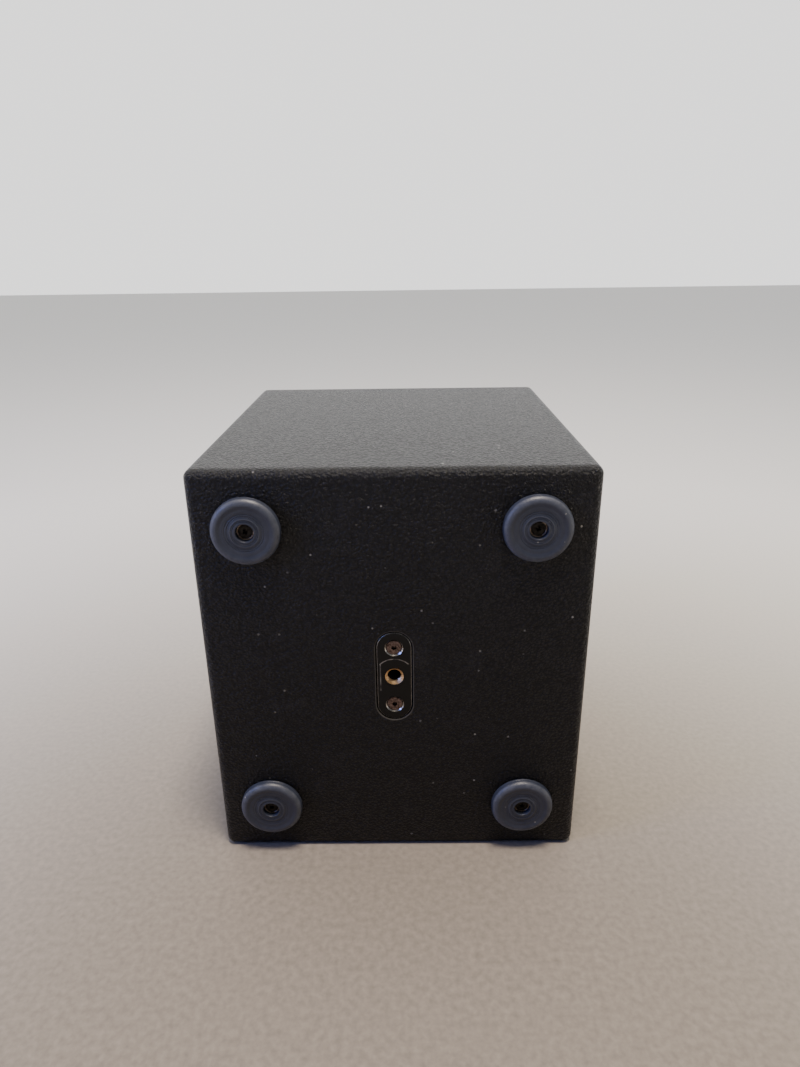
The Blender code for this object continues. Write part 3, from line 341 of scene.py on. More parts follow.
def soften_pocket(piece, on_face):
    """Rounds the edges where a pocket meets the cabinet's face."""
    bm = bmesh.new()
    bm.from_mesh(piece.data)
    rim = [edge for edge in bm.edges if all(on_face(vert.co) for vert in edge.verts)]
    round_edges(bm, rim, POCKET_EDGE, 2)
    bm.to_mesh(piece.data)
    bm.free()


plate_low, plate_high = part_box("mounting_plate")
plate_centre = Vector(((plate_low.x + plate_high.x) / 2, plate_low.y, middle_z))
plate_width = plate_high.x - plate_low.x
plate_length = plate_high.z - plate_low.z
PLATE = 4 * MM
PLATE_CLEARANCE = 0.6 * MM
BARREL_RADIUS = 8 * MM

input_low, input_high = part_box("input_plate")
input_centre = (input_low + input_high) / 2
input_face_x = input_low.x
input_width = input_high.y - input_low.y
input_length = input_high.z - input_low.z
INPUT_CLEARANCE = 0.4 * MM
INPUT_CORNER = 4 * MM
INPUT_BORDER = 8 * MM

paint = structured_paint()
cabinet = make_cabinet(paint)

cutters = []
over = 5 * MM  # how far a cutter stands out of the face that it cuts
pocket_depth = PLATE + GAP
pocket_radius = plate_width / 2 + PLATE_CLEARANCE
underside = Matrix.Translation(plate_centre) @ OUT_OF_BASE
outline = [(0, -pocket_depth), (pocket_radius, -pocket_depth), (pocket_radius, over), (0, over)]
cutters.append(turned("pocket", outline, underside, None, stretch=plate_length - plate_width))
outline = [(0, -3 * panel), (BARREL_RADIUS, -3 * panel), (BARREL_RADIUS, 0), (0, 0)]
cutters.append(turned("barrel_hole", outline, underside, None, steps=32))
cut = bmesh.new()
rebate_x = input_high.x + GAP
rounded_slot(
    cut, Matrix.Translation((rebate_x, input_centre.y, input_centre.z)) @ OUT_OF_REAR,
    input_length + 2 * INPUT_CLEARANCE, input_width + 2 * INPUT_CLEARANCE, INPUT_CORNER,
    rebate_x - rear_low.x + over,
)
cutters.append(finish_mesh(cut, "input_pocket", None))
cut = bmesh.new()
rounded_slot(
    cut, Matrix.Translation((rear_high.x + over, input_centre.y, input_centre.z)) @ OUT_OF_REAR,
    input_length - 2 * INPUT_BORDER, input_width - 2 * INPUT_BORDER, INPUT_CORNER, 2 * panel,
)
cutters.append(finish_mesh(cut, "input_window", None))
combine(cabinet, cutters)

reach = 0.2 * MM  # how far outside a pocket's edge its points are looked for
half_pocket = pocket_radius + reach
half_pocket_length = plate_length / 2 + PLATE_CLEARANCE + reach
soften_pocket(
    cabinet,
    lambda at: abs(at.y - underside_y) < 1e-5 and abs(at.x - plate_centre.x) < half_pocket
    and abs(at.z - middle_z) < half_pocket_length,
)
# The paint on the pocket's rounded edge is paler and smoother; the paler colour is a painted highlight.
cabinet.data.materials.append(powder_coat("pocket_edge_painted_highlight", "#555351", "#1c1b1b", 0.3))
for polygon in cabinet.data.polygons:
    across = abs(polygon.center.x - plate_centre.x) < half_pocket + POCKET_EDGE
    along = abs(polygon.center.z - middle_z) < half_pocket_length + POCKET_EDGE
    if across and along and slanted(polygon):
        polygon.material_index = len(cabinet.data.materials) - 1
half_input = input_width / 2 + INPUT_CLEARANCE + reach
half_input_length = input_length / 2 + INPUT_CLEARANCE + reach
soften_pocket(
    cabinet,
    lambda at: abs(at.x - rear_low.x) < 1e-5 and abs(at.y - input_centre.y) < half_input
    and abs(at.z - input_centre.z) < half_input_length,
)
shade(cabinet.data)
even_shading(cabinet)
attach(cabinet, "cabinet")
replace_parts(cabinet, "side_panel_lower", "side_panel_upper", "base_panel", "top_panel", "rear_panel")

# ---- Baffle and brace -------------------------------------------------------------------------------
# The front baffle is 18 mm birch plywood, stained black, glued in behind the grille. A raw plywood
# window brace joins the panels near the back.


def fibrous(name, early, late, size, stretch=0.06):
    """Wood, card or cloth: fibres of the given width, drawn out along Z, that take colour unevenly."""
    material, tree, shader, place = start_material(name, 0.6)
    stretched = add_node(tree, "ShaderNodeMapping", {"Vector": place, "Scale": (1, 1, stretch)})
    grain = noise(tree, stretched.outputs["Vector"], size, 5.0, 0.65)
    feed(tree, shader, {"Base Color": mix_colours(tree, grain, early, late)})
    emboss(tree, shader, grain, 0.25, 0.1 * MM)
    return material


def dress(material, *names):
    """Gives CAD nodes that keep their own shape a finish."""
    for name in names:
        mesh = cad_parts[name].data
        mesh.materials.clear()
        mesh.materials.append(material)


dress(fibrous("black_stained_birch", "#0d0d0d", "#1b1a19", 1.4 * MM), "front_baffle")
dress(fibrous("birch_plywood", "#b89468", "#8f6c45", 1.4 * MM), "brace")

# ---- Woofer -----------------------------------------------------------------------------------------
# An 8-inch driver: pressed steel basket, ferrite magnet between zinc-plated steel, and a coated paper
# cone. A rubber half roll and a corrugated cloth spider bend as the coil drives the cone in and out.

CONE_RADIUS = 78 * MM
ROLL_RADIUS = 6.5 * MM
SURROUND = 1.0 * MM
SPIDER = 0.7 * MM
SPIDER_WAVES = 4
woofer_axis = Matrix.Translation((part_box("front_baffle")[1].x, middle_y, middle_z)) @ OUT_OF_FRONT


def arc(radius, height, size, start, end, steps):
    """Points of a round stretch of a turned outline, between two angles in degrees."""
    angles = [math.radians(start + (end - start) * step / steps) for step in range(steps + 1)]
    return [(radius + size * math.cos(angle), height + size * math.sin(angle)) for angle in angles]


def plated_steel(name, bright, dull, roughness, stain="#3a2a1c"):
    """Plated steel: a satin metal whose plating is blotched and stained where it has been handled."""
    material, tree, shader, place = start_material(name, roughness, 1.0)
    blotch = noise(tree, place, 1.2 * MM, 4.0, 0.7)
    plating = mix_colours(tree, remap(tree, blotch, 0.35, 0.65), bright, dull)
    stained = remap(tree, noise(tree, place, 2.2 * MM, 5.0, 0.75), 0.52, 0.72, 0.0, 0.8)
    uneven = remap(tree, blotch, 0.0, 1.0, roughness - 0.1, roughness + 0.15)
    feed(tree, shader, {"Base Color": mix_colours(tree, stained, plating, stain), "Roughness": uneven})
    emboss(tree, shader, blotch, 0.3, 0.05 * MM)
    return material


def bend_with_cone(piece):
    """Bakes a ring's place into its mesh."""
    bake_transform(piece)


def make_surround(rubber):
    """A half roll between two flat landings, glued to the cone's rim and to the basket."""
    low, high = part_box("surround")
    inner, outer = CONE_RADIUS, CONE_RADIUS + 2 * ROLL_RADIUS
    landing = (high.y - low.y) / 2 - outer
    base = low.x - woofer_axis.translation.x
    middle = (inner + outer) / 2
    outline = [(inner - landing, base), (inner - landing, base + SURROUND)]
    outline += arc(middle, base, ROLL_RADIUS + SURROUND / 2, 171, 9, 14)
    outline += [(outer + landing, base + SURROUND), (outer + landing, base)]
    outline += arc(middle, base, ROLL_RADIUS - SURROUND / 2, 0, 180, 14)
    surround = turned("rubber_surround", outline, woofer_axis, rubber, steps=96, smooth_angle=50)
    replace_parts(surround, "surround")
    bend_with_cone(surround)


def make_spider(cloth):
    """A corrugated ring between the voice coil's former and a shelf of the basket."""
    low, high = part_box("spider")
    outer = (high.y - low.y) / 2
    former_low, former_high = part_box("voice_coil_former")
    inner = (former_high.y - former_low.y) / 2 + GAP
    edge = outer - 7 * MM
    base = low.x - woofer_axis.translation.x
    swell = high.x - low.x - SPIDER
    steps = SPIDER_WAVES * 8

    def surface(lift):
        """One side of the cloth, at a height above its lowest side."""
        points = []
        for step in range(steps + 1):
            wave = (1 - math.cos(math.tau * SPIDER_WAVES * step / steps)) / 2
            points.append((inner + (edge - inner) * step / steps, base + lift + swell * wave))
        return points + [(outer, base + lift)]

    outline = surface(0) + surface(SPIDER)[::-1]
    spider = turned("cloth_spider", outline, woofer_axis, cloth, steps=72, smooth_angle=60)
    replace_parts(spider, "spider")
    bend_with_cone(spider)


coat = powder_coat("black_powder_coat", "#141415", "#1c1c1e", 0.42)
black_zinc = plated_steel("black_zinc_plate", "#33343a", "#1d1d20", 0.35, "#151312")
moulded_black = powder_coat("glass_filled_nylon", "#121213", "#19191b", 0.5)
soft_rubber = powder_coat("butyl_rubber", "#0e0e10", "#161618", 0.6)
make_surround(soft_rubber)
make_spider(fibrous("resin_treated_cotton", "#8a6230", "#6d4a20", 0.6 * MM, 0.5))
dress(coat, "woofer_basket")
dress(soft_rubber, "woofer_gasket", "dust_cap")
dress(fibrous("coated_paper_pulp", "#131312", "#1f1e1c", 3 * MM, 0.4), "cone")
dress(fibrous("former_card", "#8f7350", "#77603f", 2 * MM), "voice_coil_former")
dress(powder_coat("sintered_ferrite", "#1d1d20", "#2a2a2d", 0.5), "magnet")
dress(plated_steel("zinc_plate", "#9c9a95", "#6f6d69", 0.35), "woofer_top_plate", "woofer_yoke")
dress(black_zinc, *[f"woofer_screw_{number}" for number in range(1, 5)])
dress(moulded_black, "terminal_block")
copper = plated_steel("enamelled_copper", "#c0693a", "#8f4a26", 0.3, "#6b3218")
dress(copper, "voice_coil")

# ---- Ports, filter and cables -----------------------------------------------------------------------
# Two moulded reflex tubes, and a passive low-pass filter on the rear panel: an air-cored copper coil and
# a film capacitor on a fibreglass board, joined by rubber-sheathed cables.

dress(moulded_black, "port_tube_lower", "port_tube_upper")
dress(powder_coat("fibreglass_board", "#0f3a22", "#174a2c", 0.4), "filter_board")
dress(copper, "filter_coil")
dress(powder_coat("polyester_film", "#a88a1c", "#8f7415", 0.3), "filter_capacitor")
dress(soft_rubber, "input_cable", "woofer_cable")

# ---- Input plate and sockets ------------------------------------------------------------------------
# A 2 mm steel plate, powder coated, screwed into a pocket of the rear panel. Each locking socket is
# moulded in glass-filled nylon: a square flange, and a ring-shaped well round a slotted core.

FIXING_HEAD = 2.9 * MM
FIXING_SHANK = 1.6 * MM
SOCKET_MOUTH = 10.6 * MM
SOCKET_CORE = 5.0 * MM
SOCKET_DEPTH = 14 * MM
SOCKET_BODY = 12 * MM
FLANGE = 26 * MM
FLANGE_CORNER = 3.5 * MM
FLANGE_HEIGHT = 2.4 * MM


def cross(place, reach, width, depth):
    """A cross recess's cutters: two tapered blades at a right angle."""
    blades = []
    for turn in (0, math.pi / 2):
        bm = bmesh.new()
        bmesh.ops.create_cone(
            bm, cap_ends=True, segments=4, radius1=reach * 0.35, radius2=reach, depth=depth,
            matrix=Matrix.Translation((0, 0, -depth / 2 + 0.1 * MM)) @ Matrix.Rotation(math.pi / 4, 4, "Z"),
        )
        bmesh.ops.scale(bm, vec=(1, width / reach, 1), verts=bm.verts)
        bmesh.ops.transform(bm, matrix=place @ Matrix.Rotation(turn, 4, "Z"), verts=bm.verts)
        blades.append(finish_mesh(bm, "blade", None))
    return blades


def block(name, place, size):
    """A box's cutter, centred on its place."""
    bm = bmesh.new()
    bmesh.ops.create_cube(bm, size=1, matrix=place @ Matrix.Diagonal((*size, 1)))
    return finish_mesh(bm, name, None)


def round_head_outline(head, shank, length):
    """Half of a round-headed screw, its head a low dome that rests on a seat at height 0."""
    height = head * 0.55
    dome = [
        (head * math.cos(angle), GAP + height * math.sin(angle))
        for angle in (math.pi / 2 * step / 8 for step in range(8))
    ]
    return [
        (0, -length), (shank * 0.55, -length + shank), (shank, -length + 2.2 * shank),
        (shank, GAP), *dome, (0, GAP + height),
    ]


bm = bmesh.new()
rear_face = Matrix.Translation((input_face_x, input_centre.y, input_centre.z)) @ OUT_OF_REAR
rounded_slot(
    bm, rear_face @ Matrix.Translation((0, 0, -(input_high.x - input_low.x))),
    input_length, input_width, INPUT_CORNER, input_high.x - input_low.x,
)
round_rim(bm, input_face_x, 0.3 * MM, 2)
input_plate = finish_mesh(bm, "connector_plate", coat)
socket_places = []
for number in (1, 2):
    low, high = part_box(f"input_socket_{number}")
    socket_places.append(seat(low, high, 0, input_face_x, OUT_OF_REAR))
openings = []
for place in socket_places:
    outline = [(0, -PLATE), (SOCKET_BODY + GAP, -PLATE), (SOCKET_BODY + GAP, PLATE), (0, PLATE)]
    openings.append(turned("socket_hole", outline, place, None, steps=48))
combine(input_plate, openings)
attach(input_plate, "cabinet")
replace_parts(input_plate, "input_plate")

for number, place in enumerate(socket_places, 1):
    low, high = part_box(f"input_socket_{number}")
    bm = bmesh.new()
    raised = place @ Matrix.Translation((0, 0, GAP))
    rounded_slot(bm, raised, FLANGE, FLANGE, FLANGE_CORNER, FLANGE_HEIGHT)
    round_rim(bm, input_face_x - GAP - FLANGE_HEIGHT, 0.6 * MM, 3)
    socket = finish_mesh(bm, f"locking_socket_{number}", moulded_black)
    back = input_face_x - high.x
    body = [
        (0, back), (SOCKET_BODY - 0.5 * MM, back), (SOCKET_BODY, back + 0.5 * MM),
        (SOCKET_BODY, 1 * MM), (0, 1 * MM),
    ]
    combine(socket, [turned("body", body, place, None)], "UNION")
    top = GAP + FLANGE_HEIGHT
    well = [
        (SOCKET_CORE, top - SOCKET_DEPTH), (SOCKET_MOUTH, top - SOCKET_DEPTH),
        (SOCKET_MOUTH, top - 1 * MM), (SOCKET_MOUTH + 0.3 * MM, top - 0.3 * MM),
        (SOCKET_MOUTH + 1 * MM, top), (SOCKET_MOUTH + 1 * MM, top + 1 * MM),
        (SOCKET_CORE - 0.8 * MM, top + 1 * MM), (SOCKET_CORE - 0.8 * MM, top),
        (SOCKET_CORE, top - 0.8 * MM),
    ]
    cuts = [turned("well", well, place, None)]
    # Two keyways in the well's wall and four contact slots in the core.
    for key in range(2):
        turn = place @ Matrix.Rotation(math.pi * key + math.pi / 4, 4, "Z")
        spot = turn @ Matrix.Translation((SOCKET_MOUTH, 0, top - SOCKET_DEPTH / 2 + 1 * MM))
        cuts.append(block("keyway", spot, (1.6 * MM, 3.4 * MM, SOCKET_DEPTH)))
    for contact in range(4):
        turn = place @ Matrix.Rotation(math.pi / 2 * contact, 4, "Z")
        spot = turn @ Matrix.Translation((SOCKET_CORE - 0.2 * MM, 0, top - 5 * MM))
        cuts.append(block("contact_slot", spot, (1.4 * MM, 1.6 * MM, 12 * MM)))
    combine(socket, cuts)
    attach(socket, "cabinet")
    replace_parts(socket, f"input_socket_{number}")

for number in range(1, 5):
    low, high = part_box(f"input_screw_{number}")
    place = seat(low, high, 0, input_face_x, OUT_OF_REAR)
    outline = round_head_outline(FIXING_HEAD, FIXING_SHANK, high.x - input_face_x)
    screw = turned(f"plate_fixing_{number}", outline, place, black_zinc, steps=40)
    top = place @ Matrix.Translation((0, 0, input_face_x - low.x))
    spun = top @ Matrix.Rotation(0.8 * number, 4, "Z")
    combine(screw, cross(spun, reach=1.7 * MM, width=0.7 * MM, depth=1.2 * MM))
    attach(screw, "cabinet")
    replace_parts(screw, f"input_screw_{number}")

# ---- Grille foam and battens ------------------------------------------------------------------------
# Open-cell reticulated foam, 5 mm, cut to the grille and glued behind it; it hides the woofer.
# The battens are strips of the same stained plywood as the baffle.


def open_foam():
    """Reticulated polyurethane foam: matt black, with open pores of about 1 mm; painted shade darkens the
    pores.
    """
    material, tree, shader, place = start_material("open_cell_foam", 0.95)
    pore_size = 1.1 * MM
    pores = add_node(
        tree, "ShaderNodeTexVoronoi", {"Vector": place, "Scale": 1 / pore_size}, feature="DISTANCE_TO_EDGE"
    )
    strand = remap(tree, pores.outputs["Distance"], 0.0, 0.2, 1.0, 0.0)
    # The pores are darker than the strands round them: painted shade in the holes.
    foam = mix_colours(tree, strand, "#030303", "#161616")
    feed(tree, shader, {"Base Color": foam, "Specular IOR Level": 0.1})
    emboss(tree, shader, strand, 1.0, 0.5 * MM)
    return material


dress(open_foam(), "grille_foam")
dress(
    fibrous("black_stained_batten", "#0d0d0d", "#1b1a19", 1.4 * MM),
    "grille_batten_lower", "grille_batten_upper",
)

# ---- Grille -----------------------------------------------------------------------------------------
# One sheet of 1.2 mm steel with 4 mm round holes at 6 mm pitch in staggered rows, two edges folded back,
# powder coated black. Four round-headed screws hold it to the battens.

PITCH = 6 * MM
HOLE_RADIUS = 2 * MM
SHEET = 1.2 * MM
MARGIN = 8 * MM
GRILLE_SCREW_HEAD = 3.2 * MM
grille_low, grille_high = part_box("grille")


def perforated_sheet(half_y, half_z):
    """The sheet's front face, drawn flat on X = 0: rows of round holes inside a plain margin."""
    row_height = PITCH * math.sqrt(3) / 2
    columns = int(2 * (half_z - MARGIN) / PITCH)
    rows = int(2 * (half_y - MARGIN) / row_height)
    half_cell, half_row = PITCH / 2, row_height / 2
    # A cell is a rectangle round one hole: twelve points on each, side by side.
    rectangle = [
        (half_cell, 0), (half_cell, half_row), (half_cell / 2, half_row), (0, half_row),
        (-half_cell / 2, half_row), (-half_cell, half_row), (-half_cell, 0), (-half_cell, -half_row),
        (-half_cell / 2, -half_row), (0, -half_row), (half_cell / 2, -half_row), (half_cell, -half_row),
    ]
    bm = bmesh.new()
    bmesh.ops.create_circle(
        bm, segments=len(rectangle), radius=HOLE_RADIUS,
        matrix=Matrix(((0, 0, 1, 0), (0, 1, 0, 0), (1, 0, 0, 0), (0, 0, 0, 1))),
    )
    grown = bmesh.ops.extrude_edge_only(bm, edges=bm.edges[:])["geom"]
    outer = sorted(verts_of(grown), key=lambda vert: math.atan2(vert.co.y, vert.co.z) % math.tau)
    for vert, (along, across) in zip(outer, rectangle):
        vert.co = (0, across, along)
    cell = bm.verts[:] + bm.edges[:] + bm.faces[:]
    row = list(cell)
    for column in range(1, columns):
        copy = bmesh.ops.duplicate(bm, geom=cell)["geom"]
        bmesh.ops.translate(bm, vec=(0, 0, column * PITCH), verts=verts_of(copy))
        row += copy
    first_row = list(row)
    for number in range(1, rows):
        copy = bmesh.ops.duplicate(bm, geom=first_row)["geom"]
        shift = half_cell if number % 2 else 0
        bmesh.ops.translate(bm, vec=(0, number * row_height, shift), verts=verts_of(copy))
    # Staggered rows leave half a cell open at one end of each.
    for number in range(rows):
        start = -half_cell if number % 2 else columns * PITCH - half_cell
        blank = bmesh.ops.create_grid(bm, x_segments=2, y_segments=2, size=0.5)["verts"]
        bmesh.ops.transform(
            bm, verts=blank,
            matrix=Matrix.Translation((0, number * row_height, start + half_cell / 2))
            @ Matrix(((0, 0, 1, 0), (0, row_height, 0, 0), (half_cell, 0, 0, 0), (0, 0, 0, 1))),
        )
    bmesh.ops.remove_doubles(bm, verts=bm.verts, dist=TINY)
    low_z = min(vert.co.z for vert in bm.verts)
    high_z = max(vert.co.z for vert in bm.verts)
    low_y = min(vert.co.y for vert in bm.verts)
    high_y = max(vert.co.y for vert in bm.verts)
    bmesh.ops.translate(bm, vec=(0, -(low_y + high_y) / 2, -(low_z + high_z) / 2), verts=bm.verts)
    field_y, field_z = (high_y - low_y) / 2, (high_z - low_z) / 2
    border = [
        edge for edge in bm.edges
        if edge.is_boundary and (
            all(abs(vert.co.y) > field_y - TINY for vert in edge.verts)
            or all(abs(vert.co.z) > field_z - TINY for vert in edge.verts)
        )
    ]
    grown = bmesh.ops.extrude_edge_only(bm, edges=border)["geom"]
    for vert in verts_of(grown):
        if abs(vert.co.y) > field_y - TINY:
            vert.co.y = math.copysign(half_y, vert.co.y)
        if abs(vert.co.z) > field_z - TINY:
            vert.co.z = math.copysign(half_z, vert.co.z)
    return bm


def make_grille(coat):
    """The perforated sheet with its two long edges folded back towards the baffle."""
    half_y = (grille_high.y - grille_low.y) / 2
    half_z = (grille_high.z - grille_low.z) / 2
    fold = grille_high.x - grille_low.x
    bend = 1.2 * MM
    bm = perforated_sheet(half_y - bend, half_z)
    edge_set = [
        edge for edge in bm.edges
        if edge.is_boundary and all(abs(vert.co.y) > half_y - bend - TINY for vert in edge.verts)
    ]
    # Each folded edge turns back in three short steps, then runs straight.
    for step in (1, 2, 3, 4):
        grown = bmesh.ops.extrude_edge_only(bm, edges=edge_set)["geom"]
        verts = verts_of(grown)
        edge_set = [item for item in grown if isinstance(item, bmesh.types.BMEdge)]
        edge_set = [edge for edge in edge_set if all(vert in verts for vert in edge.verts)]
        angle = math.radians(30 * step)
        for vert in verts:
            side = math.copysign(1, vert.co.y)
            if step < 4:
                vert.co.y = side * (half_y - bend + bend * math.sin(angle))
                vert.co.x = -bend * (1 - math.cos(angle))
            else:
                vert.co.x = -fold
    bmesh.ops.recalc_face_normals(bm, faces=bm.faces)
    if sum(face.normal.x for face in bm.faces) < 0:
        bmesh.ops.reverse_faces(bm, faces=bm.faces)
    bmesh.ops.solidify(bm, geom=bm.faces[:], thickness=SHEET)
    front_x = max(vert.co.x for vert in bm.verts)
    middle = (grille_low + grille_high) / 2
    bmesh.ops.translate(bm, vec=(grille_high.x - front_x, middle.y, middle.z), verts=bm.verts)
    return finish_mesh(bm, "perforated_grille", coat, 40)


grille = make_grille(coat)
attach(grille, "cabinet")
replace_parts(grille, "grille")

for number in range(1, 5):
    low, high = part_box(f"grille_screw_{number}")
    place = seat(low, high, 0, grille_high.x, OUT_OF_FRONT)
    outline = round_head_outline(GRILLE_SCREW_HEAD, FIXING_SHANK, grille_high.x - low.x)
    screw = turned(f"grille_fixing_{number}", outline, place, black_zinc, steps=40)
    top = place @ Matrix.Translation((0, 0, high.x - grille_high.x))
    spun = top @ Matrix.Rotation(0.9 * number, 4, "Z")
    combine(screw, cross(spun, reach=1.9 * MM, width=0.8 * MM, depth=1.3 * MM))
    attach(screw, "cabinet")
    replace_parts(screw, f"grille_screw_{number}")

# ---- Pole fitting -----------------------------------------------------------------------------------
# A slot-shaped steel plate, milled, drilled, tapped M10 and black coated, let into the underside.
# The stand's collar has rubbed a ring on it, and its countersinks and thread show bare metal.

THREAD_RADIUS = 4.9 * MM
THREAD_PITCH = 1.5 * MM
THREAD_CUT = 0.65 * MM
THREAD_MOUTH = 5.7 * MM
THREAD_CHAMFER = 1.35 * MM
THREAD_DEPTH = 15 * MM
BUSH_FACE = 6.5 * MM
COLLAR_RADIUS = 12.3 * MM
PLATE_EDGE = 0.7 * MM
PLATE_SCREW_HEAD = 4.6 * MM
PLATE_SCREW_SHANK = 2.4 * MM
PLATE_SCREW_SINK = 0.45 * MM
PLATE_SCREW_SPAN = 40 * MM
SINK_RADIUS = 5.6 * MM
SINK_HOLE = 2.7 * MM


def hexagon(place, radius, depth):
    """A driving socket's cutter: a hexagonal prism that goes down from a screw's face."""
    bm = bmesh.new()
    bmesh.ops.create_cone(
        bm, cap_ends=True, segments=6, radius1=radius, radius2=radius, depth=depth,
        matrix=Matrix.Translation((0, 0, -depth / 2 + 0.1 * MM)),
    )
    bmesh.ops.transform(bm, matrix=place, verts=bm.verts)
    return finish_mesh(bm, "socket", None)


def flat_head_outline(head, shank, length):
    """Half of a countersunk screw: flat face, cone, shank and a pointed tip."""
    return [
        (0, -length), (shank * 0.55, -length + shank), (shank, -length + 2.2 * shank),
        (shank, shank - head), (head - 0.15 * MM, -0.35 * MM), (head, -0.2 * MM),
        (head - 0.1 * MM, -0.03 * MM), (head - 0.35 * MM, 0), (0, 0),
    ]


def black_coated_plate():
    """Black cataphoretic coat on steel: smooth satin, pale arcs where a stand's collar rubs, and a painted
    highlight line near one side.
    """
    material, tree, shader, place = start_material("black_coated_plate", 0.33)
    centred = add_node(
        tree, "ShaderNodeVectorMath", {0: place, 1: (plate_centre.x, 0, middle_z)}, operation="SUBTRACT"
    )
    flat = add_node(
        tree, "ShaderNodeVectorMath", {0: centred.outputs[0], 1: (1, 0, 1)}, operation="MULTIPLY"
    )
    axes = add_node(tree, "ShaderNodeSeparateXYZ", {"Vector": flat.outputs[0]})
    radius = add_node(tree, "ShaderNodeVectorMath", {0: flat.outputs[0]}, operation="LENGTH")

    def line(value, at, width, low, high):
        """A thin line where value is near at, and the place along the plate lies between low and high."""
        away = calculate(tree, "ABSOLUTE", calculate(tree, "SUBTRACT", value, at))
        thin = remap(tree, away, 0.3 * width, width, 1.0, 0.0)
        above = calculate(tree, "GREATER_THAN", axes.outputs["Z"], low)
        below = calculate(tree, "LESS_THAN", axes.outputs["Z"], high)
        return calculate(tree, "MULTIPLY", thin, calculate(tree, "MULTIPLY", above, below))

    ring = line(radius.outputs["Value"], COLLAR_RADIUS, width=0.45 * MM, low=8.6 * MM, high=13 * MM)
    # The pale straight line near one side is a painted highlight of the plate's edge.
    side = line(axes.outputs["X"], -8.5 * MM, width=0.35 * MM, low=-10 * MM, high=8.8 * MM)
    broken = remap(tree, noise(tree, place, 3.5 * MM, 3.0), 0.35, 0.6)
    rubbed_and_highlight = calculate(tree, "MULTIPLY", calculate(tree, "MAXIMUM", ring, side), broken)
    coated = mix_colours(tree, rubbed_and_highlight, "#0d0d0e", "#8d8780")
    # Faint rub marks run across the plate below the thread.
    stretched = add_node(tree, "ShaderNodeMapping", {"Vector": place, "Scale": (0.1, 1, 1)})
    rubs = noise(tree, stretched.outputs["Vector"], 1.4 * MM, 4.0, 0.6)
    satin = remap(tree, rubs, 0.0, 1.0, 0.26, 0.44)
    feed(tree, shader, {"Base Color": coated, "Roughness": satin, "Specular IOR Level": 0.25})
    emboss(tree, shader, rubs, 0.25, 0.04 * MM)
    return material


plate_steel = black_coated_plate()
bare_steel = plated_steel("bare_turned_steel", "#f2d6ae", "#cfa673", 0.38, "#96714a")
sink_steel = plated_steel("bare_countersink", "#dcd9d6", "#9a9692", 0.22, "#4d4a47")
deep_thread_steel = plated_steel("dark_deep_thread", "#3b332c", "#1d1916", 0.35, "#0f0c0a")
worn_edge = plated_steel("worn_plate_edge", "#d2cfcc", "#8a8784", 0.28, "#4a4846")
outline = [(0, -PLATE), (plate_width / 2, -PLATE)]
outline += arc(plate_width / 2 - PLATE_EDGE, -PLATE_EDGE, PLATE_EDGE, 0, 90, 4) + [(0, 0)]
plate = turned("pole_plate", outline, underside, plate_steel, stretch=plate_length - plate_width)
bush_hole = [(0, -2 * PLATE), (BUSH_FACE, -2 * PLATE), (BUSH_FACE, PLATE), (0, PLATE)]
holes = [turned("bush_hole", bush_hole, underside, None, steps=48)]
screw_faces = []
for side in (-1, 1):
    sink_place = underside @ Matrix.Translation((0, side * PLATE_SCREW_SPAN / 2, 0))
    screw_faces.append(sink_place @ Matrix.Translation((0, 0, -PLATE_SCREW_SINK)))
    sink = [
        (0, -2 * PLATE), (SINK_HOLE, -2 * PLATE), (SINK_HOLE, SINK_HOLE - SINK_RADIUS),
        (SINK_RADIUS, 0), (SINK_RADIUS, PLATE), (0, PLATE),
    ]
    holes.append(turned("sink", sink, sink_place, sink_steel, steps=48))
combine(plate, holes)
plate.data.materials.append(worn_edge)
for polygon in plate.data.polygons:
    if slanted(polygon) and polygon.material_index == 0:
        polygon.material_index = len(plate.data.materials) - 1
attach(plate, "cabinet")
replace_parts(plate, "mounting_plate")

# The tapped bush is swaged into the plate. Its mouth is chamfered to bare steel, and below the mouth the
# thread is coloured darker.
barrel_end = plate_low.y - plate_high.y
thread = [(0, -THREAD_DEPTH), (THREAD_RADIUS - THREAD_CUT, -THREAD_DEPTH)]
turns = int((THREAD_DEPTH - 2 * THREAD_PITCH) / THREAD_PITCH)
for turn in range(turns):
    root = -THREAD_DEPTH + (turn + 1.5) * THREAD_PITCH
    thread += [(THREAD_RADIUS - THREAD_CUT, root - THREAD_PITCH / 2), (THREAD_RADIUS + 0.1 * MM, root)]
thread += [(THREAD_RADIUS - THREAD_CUT, -THREAD_CHAMFER), (THREAD_MOUTH, -0.05 * MM)]
thread += [(THREAD_MOUTH + 0.1 * MM, 0)]
bush = thread + [
    (BUSH_FACE - 0.15 * MM, 0), (BUSH_FACE - 0.02 * MM, -0.15 * MM),
    (BUSH_FACE - 0.02 * MM, -PLATE - 0.1 * MM),
    (BARREL_RADIUS - GAP, -PLATE - 0.1 * MM), (BARREL_RADIUS - GAP, barrel_end + 0.5 * MM),
    (BARREL_RADIUS - 0.8 * MM, barrel_end), (0, barrel_end),
]
barrel = turned("tapped_bush", bush, underside, plate_steel)
barrel.data.materials.append(bare_steel)
barrel.data.materials.append(deep_thread_steel)
for polygon in barrel.data.polygons:
    centre = polygon.center
    depth = centre.y - plate_low.y
    if math.hypot(centre.x - plate_centre.x, centre.z - middle_z) < THREAD_MOUTH:
        polygon.material_index = 1 if depth < 1.8 * THREAD_PITCH else 2
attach(barrel, "cabinet")
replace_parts(barrel, "mounting_plate")

